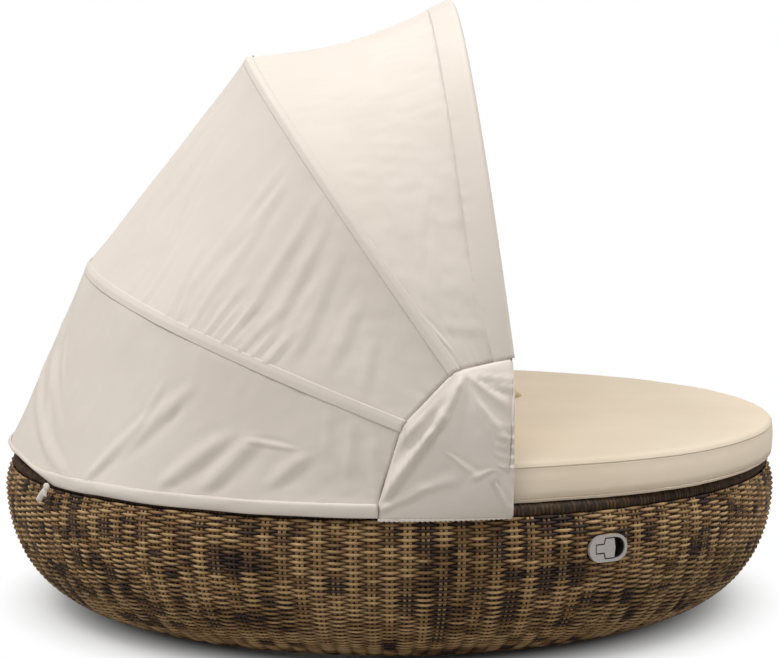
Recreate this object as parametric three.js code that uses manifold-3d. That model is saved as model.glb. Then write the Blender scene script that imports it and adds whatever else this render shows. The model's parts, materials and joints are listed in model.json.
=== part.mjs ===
// Outdoor daybed with a folding canopy: a woven bowl on a welded frame, a round mattress split across
// its width, a reclining back on a gas strut, and a fabric hood on three bows that fold about one pivot.
// Millimetres, +Z up. The origin is the centre of the base on the floor and +X is the open foot end.
import * as THREE from 'three';
import { mergeVertices } from 'three/addons/utils/BufferGeometryUtils.js';
import Module from 'manifold-3d';

const wasm = await Module();
wasm.setup();

// Clearances shared by the whole piece
const fitGap = 0.3;
const cutOverrun = 4;
const mergeTolerance = 0.0005;

// Woven bowl
const bowlRadius = 1003;
const bowlBulgeDrop = 80;
const bowlFootRadius = 655;
const bowlFloorGap = 6;
const bowlFullness = 2.9;
const wallThickness = 7;
const rimHeight = 390;
const wallTopInset = 27;
const wallTopDrop = 10.5;
const rimOuterInset = 17;
const rimWrapThickness = 5.2;
const rimWrapStartAngle = -75;
const rimWrapEndAngle = 168;

// Welded frame
const ringTubeRadius = 12.5;
const footRingInset = 23;
const glideRadius = 15;
const glideHeight = 15;
const glideCount = 6;
const ribCount = 6;
const ribThickness = 8;
const ribDepth = 26;
const ribArmLength = 223;
const ribArmDepth = 25;
const ribFootLength = 88;
const beamWidth = 42;
const beamDepth = 25;
const hingeBeamX = 204;
const frontBeamGap = 65;

// Slatted decks
const deckThickness = 20;
const deckBand = 46;
const slatPitch = 96;
const slatSlot = 34;
const seatDeckRearX = 212;
const ledgeWidth = 160;
const ledgeFrontX = 204;

// Mattress
const cushionThickness = 92;
const cushionCrown = 9;
const cushionEdgeInset = 13;
const cushionCorner = 32;
const seatCushionInset = 11;
const seatCushionRearX = 208;

// Reclining back
const backPivotX = 194;
const backPivotRise = 84;
const backPanelGap = 10;
const backPanelSideInset = 35;
const backPanelFrontX = 196;
const backCushionInset = 6;
const backCushionFrontX = 202;
const backArmThickness = 5;
const backArmEndRadius = 13;
const backArmBarHeight = 14;
const backArmBarRearX = -60;
const hingePlateThickness = 6;
const hingeFootLength = 72;
const hingeBoltRadius = 5;
const hingeHeadRadius = 9;
const hingeHeadHeight = 5;

// Gas strut
const strutFootX = 200;
const strutFootZ = 110;
const strutHeadX = -120;
const strutHeadDrop = 30;
const strutBarrelRadius = 14;
const strutBarrelLength = 250;
const strutRodRadius = 5;
const strutEyeRadius = 11;
const strutEyeWidth = 14;
const strutPinRadius = 4;
const cheekThickness = 6;
const cheekHalfWidth = 17;
const lowerBeamHeight = 22;
const strutNeckLength = 24;

// Hood pivot and bows
const hoodPivotX = 255;
const hoodPivotRise = 80;
const bowTubeRadius = 8;
const bowPitch = 17;
const frontBowReach = 1075;
const middleBowReach = 1128;
const rearBowReach = 1132;
const frontBowAngle = 82.4;
const middleBowAngle = 54.9;
const rearBowAngle = 20.9;
const bowFullness = 2.4;
const legCrank = 35;
const legCrankLength = 240;
const tongueThickness = 5;
const tongueHalfWidth = 12;
const tongueLength = 56;
const tubeStart = 36;
const pivotBoltRadius = 5;
const pivotHeadRadius = 10;
const pivotHeadHeight = 6;
const spacerRadius = 9;
const bracketHalfWidth = 15;
const bracketThickness = 6;
const bracketDrop = 20;
const bracketCushionGap = 1.7;

// Hood fabric
const clothThickness = 2.5;
const clothStandoff = 2.5;
const seamGap = 0.3;
const frontSag = 27;
const middleSag = 4;
const foldDepth = 7;
const hemStandoff = 17;
const hemDrop = 22;
const skirtRise = 10;
const rearFootReach = 280;
const middleFootReach = 262;
const frontFootReach = 243;
const gussetFrontX = 272;
const gussetFrontTopLead = 8;
const gussetHemRearLag = 25;
const gussetSeamGap = 0.7;
const gussetStep = 38;
const tieRadius = 9;
const tieLength = 52;
const tieAzimuth = 148.5;

// Release handle in the near wall
const handleAzimuth = -61.2;
const handleDrop = 108;
const bezelWidth = 102;
const bezelHeight = 61;
const bezelThickness = 4;
const bezelBorder = 7;
const cupInset = 6;
const cupDepth = 25;
const cupWall = 2.5;
const paddleThickness = 3;
const paddleGap = 3;
const paddlePinRadius = 1.5;
const paddleBarrelRadius = 3.8;
const paddlePinDepth = 2.7;
const paddleBarrelLength = 10;
const lugWidth = 4;
const springWireRadius = 0.5;
const springTurns = 3;
const springPitch = 2;
const springClearance = 0.35;

// Scatter pillows
const pillowSize = 400;
const pillowThickness = 120;
const pillowDrawShare = 0.07;
const flatPillowX = -20;
const flatPillowY = -600;
const flatPillowHeading = -35;
const frontPillowX = 27;
const frontPillowY = -642;
const frontPillowHeading = -25;
const frontPillowTilt = 14;
const pillowSeatShare = 0.66;

// Facets
const ringSegments = 60;
const ringSides = 6;
const tubeSides = 8;
const roundSides = 12;
const bowSteps = 30;
const wrapSteps = 4;
const cushionArcSteps = 24;
const cornerSteps = 4;
const arcSteps = 4;
const stadiumSteps = 7;

const degrees = Math.PI / 180;

// Places that follow from the sizes above
const wallTopRadius = bowlRadius - wallTopInset;
const bowlBulgeHeight = rimHeight - bowlBulgeDrop;
const handleHeight = rimHeight - handleDrop;
const cupWidth = bezelWidth - 2 * cupInset;
const cupHeight = bezelHeight - 2 * cupInset;
const backPivotZ = rimHeight + backPivotRise;
const hoodPivotZ = rimHeight + hoodPivotRise;
const rimOuterRadius = bowlRadius - rimOuterInset;
const footRingRadius = bowlFootRadius - footRingInset;
const rimWrapRadius = ringTubeRadius + fitGap + rimWrapThickness;
const rimCentreRadius = rimOuterRadius - rimWrapRadius;
const rimCentreHeight = rimHeight - rimWrapRadius;
const footRingHeight = glideHeight + fitGap + ringTubeRadius;
const deckTop = rimHeight - fitGap;
const deckBottom = deckTop - deckThickness;
const beamTop = deckBottom - fitGap;
const rimInnerRadius = rimCentreRadius - rimWrapRadius;
const deckRadius = rimInnerRadius - fitGap;
const ribArmInnerRadius = rimCentreRadius - ribArmLength;
const frontBeamX = ribArmInnerRadius * Math.cos(Math.PI / ribCount) - frontBeamGap;
const ledgeInnerRadius = rimInnerRadius - ledgeWidth;
const cushionBottom = rimHeight + fitGap;
const seatCushionRadius = rimOuterRadius - seatCushionInset;
const backPanelRadius = ledgeInnerRadius - backPanelGap;
const backPanelHalfWidth = backPanelRadius - backPanelSideInset;
const cushionAtPivot = Math.sqrt(seatCushionRadius ** 2 - (hoodPivotX - bracketHalfWidth) ** 2);
const bracketPlateInner = cushionAtPivot + bracketCushionGap;
const bracketPlateOuter = bracketPlateInner + bracketThickness;
const frontBowHalfWidth = bracketPlateOuter + fitGap + bowTubeRadius;
const hemRadius = rimOuterRadius + hemStandoff;
const hemHeight = rimHeight - hemDrop;
const skirtRimHeight = rimHeight + skirtRise;
const gussetHemRearX = -gussetHemRearLag;

// Finishes
const finish = (color, roughness, metalness = 0) =>
  () => new THREE.MeshStandardMaterial({ color, roughness, metalness });
const wickerFinish = finish(0x8a6a42, 0.7);
const wrapFinish = finish(0x4b372a, 0.65);
const frameFinish = finish(0x5a554f, 0.5, 0.6);
const steelFinish = finish(0xb9bcc0, 0.35, 1);
const plasticFinish = finish(0x1d1d1f, 0.6);
const deckFinish = finish(0x6a645c, 0.55, 0.5);
const clothFinish = finish(0xece6dc, 0.85);
const cushionFinish = finish(0xe8d9bd, 0.9);
const bezelFinish = finish(0xc9c4be, 0.4, 0.7);

const daybed = new THREE.Group();

// Turns a closed three.js geometry into a solid for joining and cutting.
function toSolid(geometry) {
  const bare = geometry.clone();
  bare.deleteAttribute('normal');
  bare.deleteAttribute('uv');
  const merged = mergeVertices(bare, mergeTolerance);
  const index = Array.from(merged.index.array);
  const kept = [];
  for (let i = 0; i < index.length; i += 3) {
    const [a, b, c] = [index[i], index[i + 1], index[i + 2]];
    if (a !== b && b !== c && c !== a) kept.push(a, b, c);
  }
  const positions = merged.attributes.position.array;
  if (signedVolume(positions, kept) < 0) {
    for (let i = 0; i < kept.length; i += 3) [kept[i], kept[i + 1]] = [kept[i + 1], kept[i]];
  }
  const mesh = new wasm.Mesh({
    numProp: 3,
    vertProperties: new Float32Array(positions),
    triVerts: new Uint32Array(kept),
  });
  return new wasm.Manifold(mesh);
}

function signedVolume(positions, index) {
  const [a, b, c] = [new THREE.Vector3(), new THREE.Vector3(), new THREE.Vector3()];
  let sum = 0;
  for (let i = 0; i < index.length; i += 3) {
    a.fromArray(positions, 3 * index[i]);
    b.fromArray(positions, 3 * index[i + 1]);
    c.fromArray(positions, 3 * index[i + 2]);
    sum += a.dot(b.cross(c));
  }
  return sum;
}

function toGeometry(solid) {
  const mesh = solid.getMesh();
  const geometry = new THREE.BufferGeometry();
  geometry.setAttribute('position', new THREE.BufferAttribute(new Float32Array(mesh.vertProperties), 3));
  geometry.setIndex(new THREE.BufferAttribute(new Uint32Array(mesh.triVerts), 1));
  geometry.computeVertexNormals();
  return geometry;
}

// Adds one named piece to a group. The shape is a solid or a closed geometry.
function addPiece(name, shape, material, parent = daybed) {
  const solid = shape.isBufferGeometry ? toSolid(shape) : shape;
  const mesh = new THREE.Mesh(toGeometry(solid), material());
  mesh.name = name;
  parent.add(mesh);
  return mesh;
}

const join = (first, ...rest) => rest.reduce((sum, solid) => sum.add(solid), first);
const cut = (first, ...rest) => rest.reduce((sum, solid) => sum.subtract(solid), first);

// Simple solids, each with its place worked in.
function block(x0, x1, y0, y1, z0, z1) {
  const geometry = new THREE.BoxGeometry(x1 - x0, y1 - y0, z1 - z0);
  return toSolid(geometry.translate((x0 + x1) / 2, (y0 + y1) / 2, (z0 + z1) / 2));
}

function postAlongZ(x, y, z0, z1, radius, sides = roundSides) {
  const geometry = new THREE.CylinderGeometry(radius, radius, z1 - z0, sides);
  return toSolid(geometry.rotateX(Math.PI / 2).translate(x, y, (z0 + z1) / 2));
}

function rodAlongY(x, z, y0, y1, radius, sides = roundSides) {
  const geometry = new THREE.CylinderGeometry(radius, radius, Math.abs(y1 - y0), sides);
  return toSolid(geometry.translate(x, (y0 + y1) / 2, z));
}

// Revolves a closed profile of (radius, height) points about the vertical axis.
function revolve(profile, segments = ringSegments) {
  const closed = [...profile, profile[0]];
  const geometry = new THREE.LatheGeometry(closed, segments);
  return toSolid(geometry.rotateX(Math.PI / 2));
}

function arcPoints(radius, height, arcRadius, startAngle, endAngle, steps) {
  const points = [];
  for (let i = 0; i <= steps; i += 1) {
    const angle = (startAngle + ((endAngle - startAngle) * i) / steps) * degrees;
    const [out, up] = [arcRadius * Math.cos(angle), arcRadius * Math.sin(angle)];
    points.push(new THREE.Vector2(radius + out, height + up));
  }
  return points;
}

function ringTube(radius, height, tubeRadius, sides = ringSides) {
  return revolve(arcPoints(radius, height, tubeRadius, 0, 360 - 360 / sides, sides - 1));
}

// Extrudes a flat outline in the XZ plane and centres it on a distance from the middle plane.
function plateAcrossY(shape, y0, y1) {
  const settings = { depth: Math.abs(y1 - y0), bevelEnabled: false, curveSegments: arcSteps };
  const geometry = new THREE.ExtrudeGeometry(shape, settings);
  return toSolid(geometry.rotateX(Math.PI / 2).translate(0, Math.max(y0, y1), 0));
}

const outline = (...points) => new THREE.Shape(points.map(([x, y]) => new THREE.Vector2(x, y)));

// Bowl wall: a full curve from the turned-under foot to the bulge, then drawn in to the rim.
const wallSteps = 6;
const upperSteps = 2;
const footSpacingPower = 1.35;

function wallRadius(height) {
  if (height >= bowlBulgeHeight) {
    const rise = (height - bowlBulgeHeight) / (rimHeight - bowlBulgeHeight);
    return bowlRadius - (bowlRadius - wallTopRadius) * rise ** 2;
  }
  const turn = Math.acos(1 - (height - bowlFloorGap) / (bowlBulgeHeight - bowlFloorGap));
  return bowlFootRadius + (bowlRadius - bowlFootRadius) * Math.sin(turn) ** (2 / bowlFullness);
}

function wallProfile(topHeight) {
  const points = [];
  for (let i = 0; i <= wallSteps; i += 1) {
    const turn = (Math.PI / 2) * (i / wallSteps) ** footSpacingPower;
    const height = bowlFloorGap + (bowlBulgeHeight - bowlFloorGap) * (1 - Math.cos(turn));
    points.push(new THREE.Vector2(wallRadius(height), height));
  }
  for (let i = 1; i <= upperSteps; i += 1) {
    const height = bowlBulgeHeight + ((topHeight - bowlBulgeHeight) * i) / upperSteps;
    points.push(new THREE.Vector2(wallRadius(height), height));
  }
  return points;
}

// Moves each point of a profile inwards, square to the wall.
function offsetProfile(points, distance) {
  return points.map((point, i) => {
    const before = points[Math.max(i - 1, 0)];
    const after = points[Math.min(i + 1, points.length - 1)];
    const along = after.clone().sub(before).normalize();
    return new THREE.Vector2(point.x - along.y * distance, point.y + along.x * distance);
  });
}

const outerWall = wallProfile(rimCentreHeight - wallTopDrop);
const acrossFlats = (radius, sides) => radius / Math.cos(Math.PI / sides);
const rimCutterRadius = acrossFlats(rimWrapRadius + fitGap, roundSides);
const rimCutter = ringTube(rimCentreRadius, rimCentreHeight, rimCutterRadius, roundSides);
const topRingCutter = ringTube(rimCentreRadius, rimCentreHeight, ringTubeRadius + fitGap);
const footRingCutter = ringTube(footRingRadius, footRingHeight, ringTubeRadius + fitGap);
const bowlPlug = revolve([
  new THREE.Vector2(0, 0),
  ...offsetProfile(outerWall, -fitGap),
  new THREE.Vector2(0, rimCentreHeight - wallTopDrop),
]);

// Handle frame: X runs along the wall, Y is up and Z points out of the wall.
const handleFrame = new THREE.Group();
const upAxis = new THREE.Vector3(0, 0, 1);
const handleNormal = new THREE.Vector3(1, 0, 0).applyAxisAngle(upAxis, handleAzimuth * degrees);
const handleAlong = new THREE.Vector3().crossVectors(upAxis, handleNormal);
handleFrame.setRotationFromMatrix(new THREE.Matrix4().makeBasis(handleAlong, upAxis, handleNormal));
handleFrame.position.copy(handleNormal).multiplyScalar(wallRadius(handleHeight));
handleFrame.position.z = handleHeight;
daybed.add(handleFrame);

function stadium(width, height) {
  const shape = new THREE.Shape();
  const end = height / 2;
  const reach = width / 2 - end;
  shape.absarc(reach, 0, end, -Math.PI / 2, Math.PI / 2);
  shape.absarc(-reach, 0, end, Math.PI / 2, 1.5 * Math.PI);
  return shape;
}

function extrudeOut(shape, z0, z1) {
  const settings = { depth: z1 - z0, bevelEnabled: false, curveSegments: stadiumSteps };
  return toSolid(new THREE.ExtrudeGeometry(shape, settings).translate(0, 0, z0));
}

// Places a solid of the handle frame in the frame of the whole piece.
function fromHandleFrame(solid) {
  handleFrame.updateMatrix();
  return toSolid(toGeometry(solid).applyMatrix4(handleFrame.matrix));
}

function makeBowl() {
  const inner = offsetProfile(outerWall, wallThickness).reverse();
  const shell = revolve([...outerWall, ...inner]);
  const pocket = extrudeOut(
    stadium(cupWidth + 2 * fitGap, cupHeight + 2 * fitGap),
    -cupDepth - cutOverrun,
    bezelThickness + cutOverrun,
  );
  addPiece('wicker_bowl', cut(shell, fromHandleFrame(pocket)), wickerFinish);

  const outer = arcPoints(
    rimCentreRadius, rimCentreHeight, rimWrapRadius, rimWrapStartAngle, rimWrapEndAngle, wrapSteps + 2,
  );
  const boreStep = ((rimWrapEndAngle - rimWrapStartAngle) / wrapSteps) * degrees;
  const boreRadius = (ringTubeRadius + fitGap) / Math.cos(boreStep / 2);
  const bore = arcPoints(
    rimCentreRadius, rimCentreHeight, boreRadius, rimWrapEndAngle, rimWrapStartAngle, wrapSteps,
  );
  addPiece('rim_wrap', revolve([...outer, ...bore]), wrapFinish);
}

function makeFrame() {
  addPiece('top_ring', ringTube(rimCentreRadius, rimCentreHeight, ringTubeRadius), frameFinish);
  addPiece('foot_ring', ringTube(footRingRadius, footRingHeight, ringTubeRadius), frameFinish);

  // One rib: a curved flat bar inside the wall with an arm under the decks and a foot at the lower ring.
  const barTop = rimCentreHeight - rimWrapRadius - fitGap;
  const near = offsetProfile(outerWall, wallThickness + fitGap);
  const far = offsetProfile(outerWall, wallThickness + fitGap + ribDepth);
  const bar = new THREE.Shape([...near, ...far.reverse()]);
  const half = ribThickness / 2;
  const aboveBar = block(0, bowlRadius, -bowlRadius, bowlRadius, barTop, bowlRadius);
  const barSolid = cut(plateAcrossY(bar, -half, half), aboveBar);
  const armEnd = rimCentreRadius - fitGap;
  const arm = block(ribArmInnerRadius, armEnd, -half, half, beamTop - ribArmDepth, beamTop);
  const footBase = glideHeight + fitGap;
  const foot = block(
    footRingRadius + ringTubeRadius / 2, footRingRadius + ribFootLength,
    -half, half, footBase, footBase + ribDepth,
  );
  const rib = cut(join(barSolid, arm, foot), topRingCutter, footRingCutter);
  for (let i = 0; i < ribCount; i += 1) {
    const mesh = addPiece(`rib_${i + 1}`, rib, frameFinish);
    mesh.rotation.z = ((i + 0.5) * 2 * Math.PI) / ribCount;
  }

  const insideRing = postAlongZ(0, 0, 0, rimHeight, rimCentreRadius - fitGap, ringSegments);
  const beam = (x) => {
    const bar3d = block(
      x - beamWidth / 2, x + beamWidth / 2, -bowlRadius, bowlRadius, beamTop - beamDepth, beamTop,
    );
    return cut(bar3d.intersect(insideRing), topRingCutter);
  };
  addPiece('hinge_beam', beam(hingeBeamX), frameFinish);
  addPiece('front_beam', beam(frontBeamX), frameFinish);

  const lowerInside = postAlongZ(0, 0, 0, rimHeight, footRingRadius, ringSegments);
  const lowerBar = block(
    strutFootX - beamWidth / 2, strutFootX + beamWidth / 2,
    -bowlRadius, bowlRadius,
    footRingHeight - lowerBeamHeight / 2, footRingHeight + lowerBeamHeight / 2,
  );
  addPiece('lower_beam', cut(lowerBar.intersect(lowerInside), footRingCutter), frameFinish);

  const puck = postAlongZ(footRingRadius, 0, 0, footRingHeight, glideRadius);
  const glide = cut(puck, footRingCutter, block(
    footRingRadius - bowlRadius, footRingRadius + bowlRadius, -bowlRadius, bowlRadius,
    footRingHeight - ringTubeRadius / 2, bowlRadius,
  ));
  for (let i = 0; i < glideCount; i += 1) {
    const mesh = addPiece(`glide_${i + 1}`, glide, plasticFinish);
    mesh.rotation.z = (i * 2 * Math.PI) / glideCount;
  }
}

// A flat welded panel with a solid band round its edge and slots between the slats.
function slottedPanel(disc, radius, x0, x1, halfWidth) {
  let panel = disc;
  const count = Math.floor((halfWidth - deckBand - slatSlot / 2) / slatPitch + 0.5);
  for (let i = -count; i < count; i += 1) {
    const y = (i + 0.5) * slatPitch;
    const edge = Math.sqrt((radius - deckBand) ** 2 - (Math.abs(y) + slatSlot / 2) ** 2);
    const start = Math.max(x0 + deckBand, -edge);
    const end = Math.min(x1 - deckBand, edge);
    const slot = block(
      start, end, y - slatSlot / 2, y + slatSlot / 2, deckBottom - cutOverrun, deckTop + cutOverrun,
    );
    panel = panel.subtract(slot);
  }
  return panel;
}

function makeDecks() {
  const disc = postAlongZ(0, 0, deckBottom, deckTop, deckRadius, ringSegments);
  const frontHalf = block(seatDeckRearX, bowlRadius, -bowlRadius, bowlRadius, 0, bowlRadius);
  const seatHalfWidth = Math.sqrt(deckRadius ** 2 - seatDeckRearX ** 2);
  const seat = slottedPanel(disc.intersect(frontHalf), deckRadius, seatDeckRearX, deckRadius, seatHalfWidth);
  addPiece('seat_deck', seat, deckFinish);

  const rearPart = block(-bowlRadius, ledgeFrontX, -bowlRadius, bowlRadius, 0, bowlRadius);
  const opening = postAlongZ(0, 0, 0, bowlRadius, ledgeInnerRadius, ringSegments);
  addPiece('rear_ledge', cut(disc.intersect(rearPart), opening), wickerFinish);
}

// Cushions: loops round a soft outline, drawn in to the two seams and crowned on top.
const edgeInsetShares = [1, 0.38, 0.08, 0, 0.08, 0.38, 1];
const edgeHeightShares = [0, 0.05, 0.2, 0.5, 0.8, 0.95, 1];
const crownRingShares = [0.93, 0.8, 0.5];
const crownRiseShares = [0.35, 0.68, 1];

// The front of a disc, cut straight across at a distance and rounded at its two corners.
function seatOutline(radius, cutX, corner) {
  const [x, reach] = [cutX + corner, radius - corner];
  const y = Math.sqrt(reach ** 2 - x ** 2);
  const turn = Math.atan2(y, x) / degrees;
  return [
    ...arcPoints(0, 0, radius, -turn, turn, cushionArcSteps),
    ...arcPoints(x, y, corner, turn, 180, cornerSteps).slice(1),
    ...arcPoints(x, -y, corner, 180, 360 - turn, cornerSteps).slice(0, -1),
  ];
}

// The back of a disc between two straight sides, cut straight across in front with rounded corners.
function backOutline(radius, cutX, halfWidth, corner) {
  const turn = Math.asin(halfWidth / radius) / degrees;
  return [
    ...arcPoints(0, 0, radius, 180 - turn, 180 + turn, cushionArcSteps),
    ...arcPoints(cutX - corner, -halfWidth + corner, corner, -90, 0, cornerSteps),
    ...arcPoints(cutX - corner, halfWidth - corner, corner, 0, 90, cornerSteps),
  ];
}

function cushionShape(points, centreX, base) {
  const steps = points.length;
  const inward = points.map((point, i) => {
    const along = points[(i + 1) % steps].clone().sub(points[(i + steps - 1) % steps]).normalize();
    return new THREE.Vector2(-along.y, along.x);
  });
  const positions = [];
  const loops = [];
  const ring = (inset, share, height) => {
    loops.push(positions.length / 3);
    points.forEach((point, i) => {
      const moved = point.clone().addScaledVector(inward[i], inset);
      positions.push(centreX + (moved.x - centreX) * share, moved.y * share, height);
    });
  };
  edgeInsetShares.forEach((share, i) => {
    ring(share * cushionEdgeInset, 1, base + cushionThickness * edgeHeightShares[i]);
  });
  crownRingShares.forEach((share, i) => {
    ring(cushionEdgeInset, share, base + cushionThickness + cushionCrown * crownRiseShares[i]);
  });
  return loftLoops(positions, loops, steps);
}

// Closes a stack of loops with a fan at each end.
function loftLoops(positions, loops, steps) {
  const index = [];
  for (let k = 0; k + 1 < loops.length; k += 1) {
    for (let i = 0; i < steps; i += 1) {
      const next = (i + 1) % steps;
      const [a, b, c, d] = [loops[k] + i, loops[k] + next, loops[k + 1] + next, loops[k + 1] + i];
      index.push(a, b, c, a, c, d);
    }
  }
  for (const [start, flip] of [[loops[0], true], [loops[loops.length - 1], false]]) {
    const centre = [0, 0, 0];
    for (let i = 0; i < steps; i += 1) {
      for (let axis = 0; axis < 3; axis += 1) centre[axis] += positions[3 * (start + i) + axis] / steps;
    }
    const hub = positions.length / 3;
    positions.push(...centre);
    for (let i = 0; i < steps; i += 1) {
      const next = (i + 1) % steps;
      if (flip) index.push(hub, start + next, start + i);
      else index.push(hub, start + i, start + next);
    }
  }
  const geometry = new THREE.BufferGeometry();
  geometry.setAttribute('position', new THREE.BufferAttribute(new Float32Array(positions), 3));
  geometry.setIndex(index);
  return geometry;
}

// A square pillow: full in the middle, drawn in along its sides, thin at its corners.
const pillowCells = 10;
const pillowFullness = 0.42;

function pillowShape() {
  const half = pillowSize / 2;
  const positions = [];
  const index = [];
  for (const side of [1, -1]) {
    const start = positions.length / 3;
    for (let i = 0; i <= pillowCells; i += 1) {
      for (let j = 0; j <= pillowCells; j += 1) {
        const u = Math.sin((Math.PI / 2) * ((2 * i) / pillowCells - 1));
        const v = Math.sin((Math.PI / 2) * ((2 * j) / pillowCells - 1));
        const x = half * u * (1 - pillowDrawShare * (1 - v ** 2) * u ** 2);
        const y = half * v * (1 - pillowDrawShare * (1 - u ** 2) * v ** 2);
        const rise = ((1 - u ** 2) * (1 - v ** 2)) ** pillowFullness;
        positions.push(x, y, (side * pillowThickness * rise) / 2);
      }
    }
    for (let i = 0; i < pillowCells; i += 1) {
      for (let j = 0; j < pillowCells; j += 1) {
        const a = start + i * (pillowCells + 1) + j;
        const [b, c, d] = [a + pillowCells + 1, a + pillowCells + 2, a + 1];
        if (side > 0) index.push(a, b, c, a, c, d);
        else index.push(a, c, b, a, d, c);
      }
    }
  }
  const geometry = new THREE.BufferGeometry();
  geometry.setAttribute('position', new THREE.BufferAttribute(new Float32Array(positions), 3));
  geometry.setIndex(index);
  return geometry;
}

function makeSoftParts() {
  const seat = seatOutline(seatCushionRadius, seatCushionRearX, cushionCorner);
  const seatCentre = (seatCushionRearX + seatCushionRadius) / 2;
  addPiece('seat_cushion', cushionShape(seat, seatCentre, cushionBottom), cushionFinish);

  const [radius, width] = [backPanelRadius - backCushionInset, backPanelHalfWidth - backCushionInset];
  const back = backOutline(radius, backCushionFrontX, width, cushionCorner);
  const backCentre = (backCushionFrontX - radius) / 2;
  addPiece('back_cushion', cushionShape(back, backCentre, cushionBottom), cushionFinish);
}

function makeBack() {
  const disc = postAlongZ(0, 0, deckBottom, deckTop, backPanelRadius, ringSegments);
  const limits = block(
    -bowlRadius, backPanelFrontX, -backPanelHalfWidth, backPanelHalfWidth, 0, bowlRadius,
  );
  let panel = slottedPanel(
    disc.intersect(limits), backPanelRadius, -backPanelRadius, backPanelFrontX, backPanelHalfWidth,
  );

  const armInner = backPanelHalfWidth - backArmThickness / 2;
  const armOuter = armInner + backArmThickness;
  const plateInner = armOuter + 2 * fitGap;
  const plateOuter = plateInner + hingePlateThickness;
  const barBottom = deckBottom + (deckThickness - backArmBarHeight) / 2;
  for (const [side, name] of [[-1, 'right'], [1, 'left']]) {
    const riser = new THREE.Shape();
    riser.moveTo(backArmBarRearX, barBottom);
    riser.lineTo(backPanelFrontX, barBottom);
    riser.absarc(backPivotX, backPivotZ, backArmEndRadius, 0, Math.PI);
    riser.lineTo(backPivotX - 2 * backArmEndRadius, barBottom + backArmBarHeight);
    riser.lineTo(backArmBarRearX, barBottom + backArmBarHeight);
    const bore = (radius) => rodAlongY(
      backPivotX, backPivotZ, side * (armInner - cutOverrun), side * (plateOuter + cutOverrun), radius,
    );
    const arm = plateAcrossY(riser, side * armInner, side * armOuter);
    panel = cut(join(panel, arm), bore(hingeBoltRadius + fitGap));

    const upright = new THREE.Shape();
    upright.moveTo(backPivotX - backArmEndRadius, rimHeight);
    upright.lineTo(backPivotX + backArmEndRadius - fitGap, rimHeight);
    upright.absarc(backPivotX, backPivotZ, backArmEndRadius - fitGap, 0, Math.PI);
    const plate = plateAcrossY(upright, side * plateInner, side * plateOuter);
    const footEnd = plateInner + hingeFootLength;
    const [footA, footB] = side > 0 ? [plateInner, footEnd] : [-footEnd, -plateInner];
    const foot = block(
      backPivotX - 2 * backArmEndRadius, backPivotX + backArmEndRadius - fitGap,
      footA, footB, rimHeight, rimHeight + hingePlateThickness,
    );
    addPiece(`hinge_plate_${name}`, cut(join(plate, foot), bore(hingeBoltRadius + fitGap)), steelFinish);

    const shank = rodAlongY(
      backPivotX, backPivotZ, side * (armInner + fitGap), side * (plateOuter + fitGap), hingeBoltRadius,
    );
    const head = rodAlongY(
      backPivotX, backPivotZ, side * (plateOuter + fitGap),
      side * (plateOuter + fitGap + hingeHeadHeight), hingeHeadRadius, 6,
    );
    addPiece(`hinge_bolt_${name}`, join(shank, head), steelFinish);
  }
  addPiece('back_panel', panel, deckFinish);
}

function cheek(x, z, webZ, y0, y1) {
  const shape = new THREE.Shape();
  const up = webZ > z;
  shape.moveTo(x - cheekHalfWidth, webZ);
  if (up) {
    shape.lineTo(x - cheekHalfWidth, z);
    shape.absarc(x, z, cheekHalfWidth, Math.PI, 2 * Math.PI);
    shape.lineTo(x + cheekHalfWidth, webZ);
  } else {
    shape.lineTo(x + cheekHalfWidth, webZ);
    shape.lineTo(x + cheekHalfWidth, z);
    shape.absarc(x, z, cheekHalfWidth, 0, Math.PI);
  }
  return plateAcrossY(shape, y0, y1);
}

// Two cheeks on a web, which hold an eye between them.
function clevis(x, z, webZ) {
  const inner = strutEyeWidth / 2 + 2 * fitGap;
  const outer = inner + cheekThickness;
  const plateFar = webZ > z ? webZ - cheekThickness : webZ + cheekThickness;
  const web = block(
    x - cheekHalfWidth, x + cheekHalfWidth, -outer, outer, Math.min(webZ, plateFar), Math.max(webZ, plateFar),
  );
  return join(cheek(x, z, webZ, inner, outer), cheek(x, z, webZ, -outer, -inner), web);
}

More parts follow.
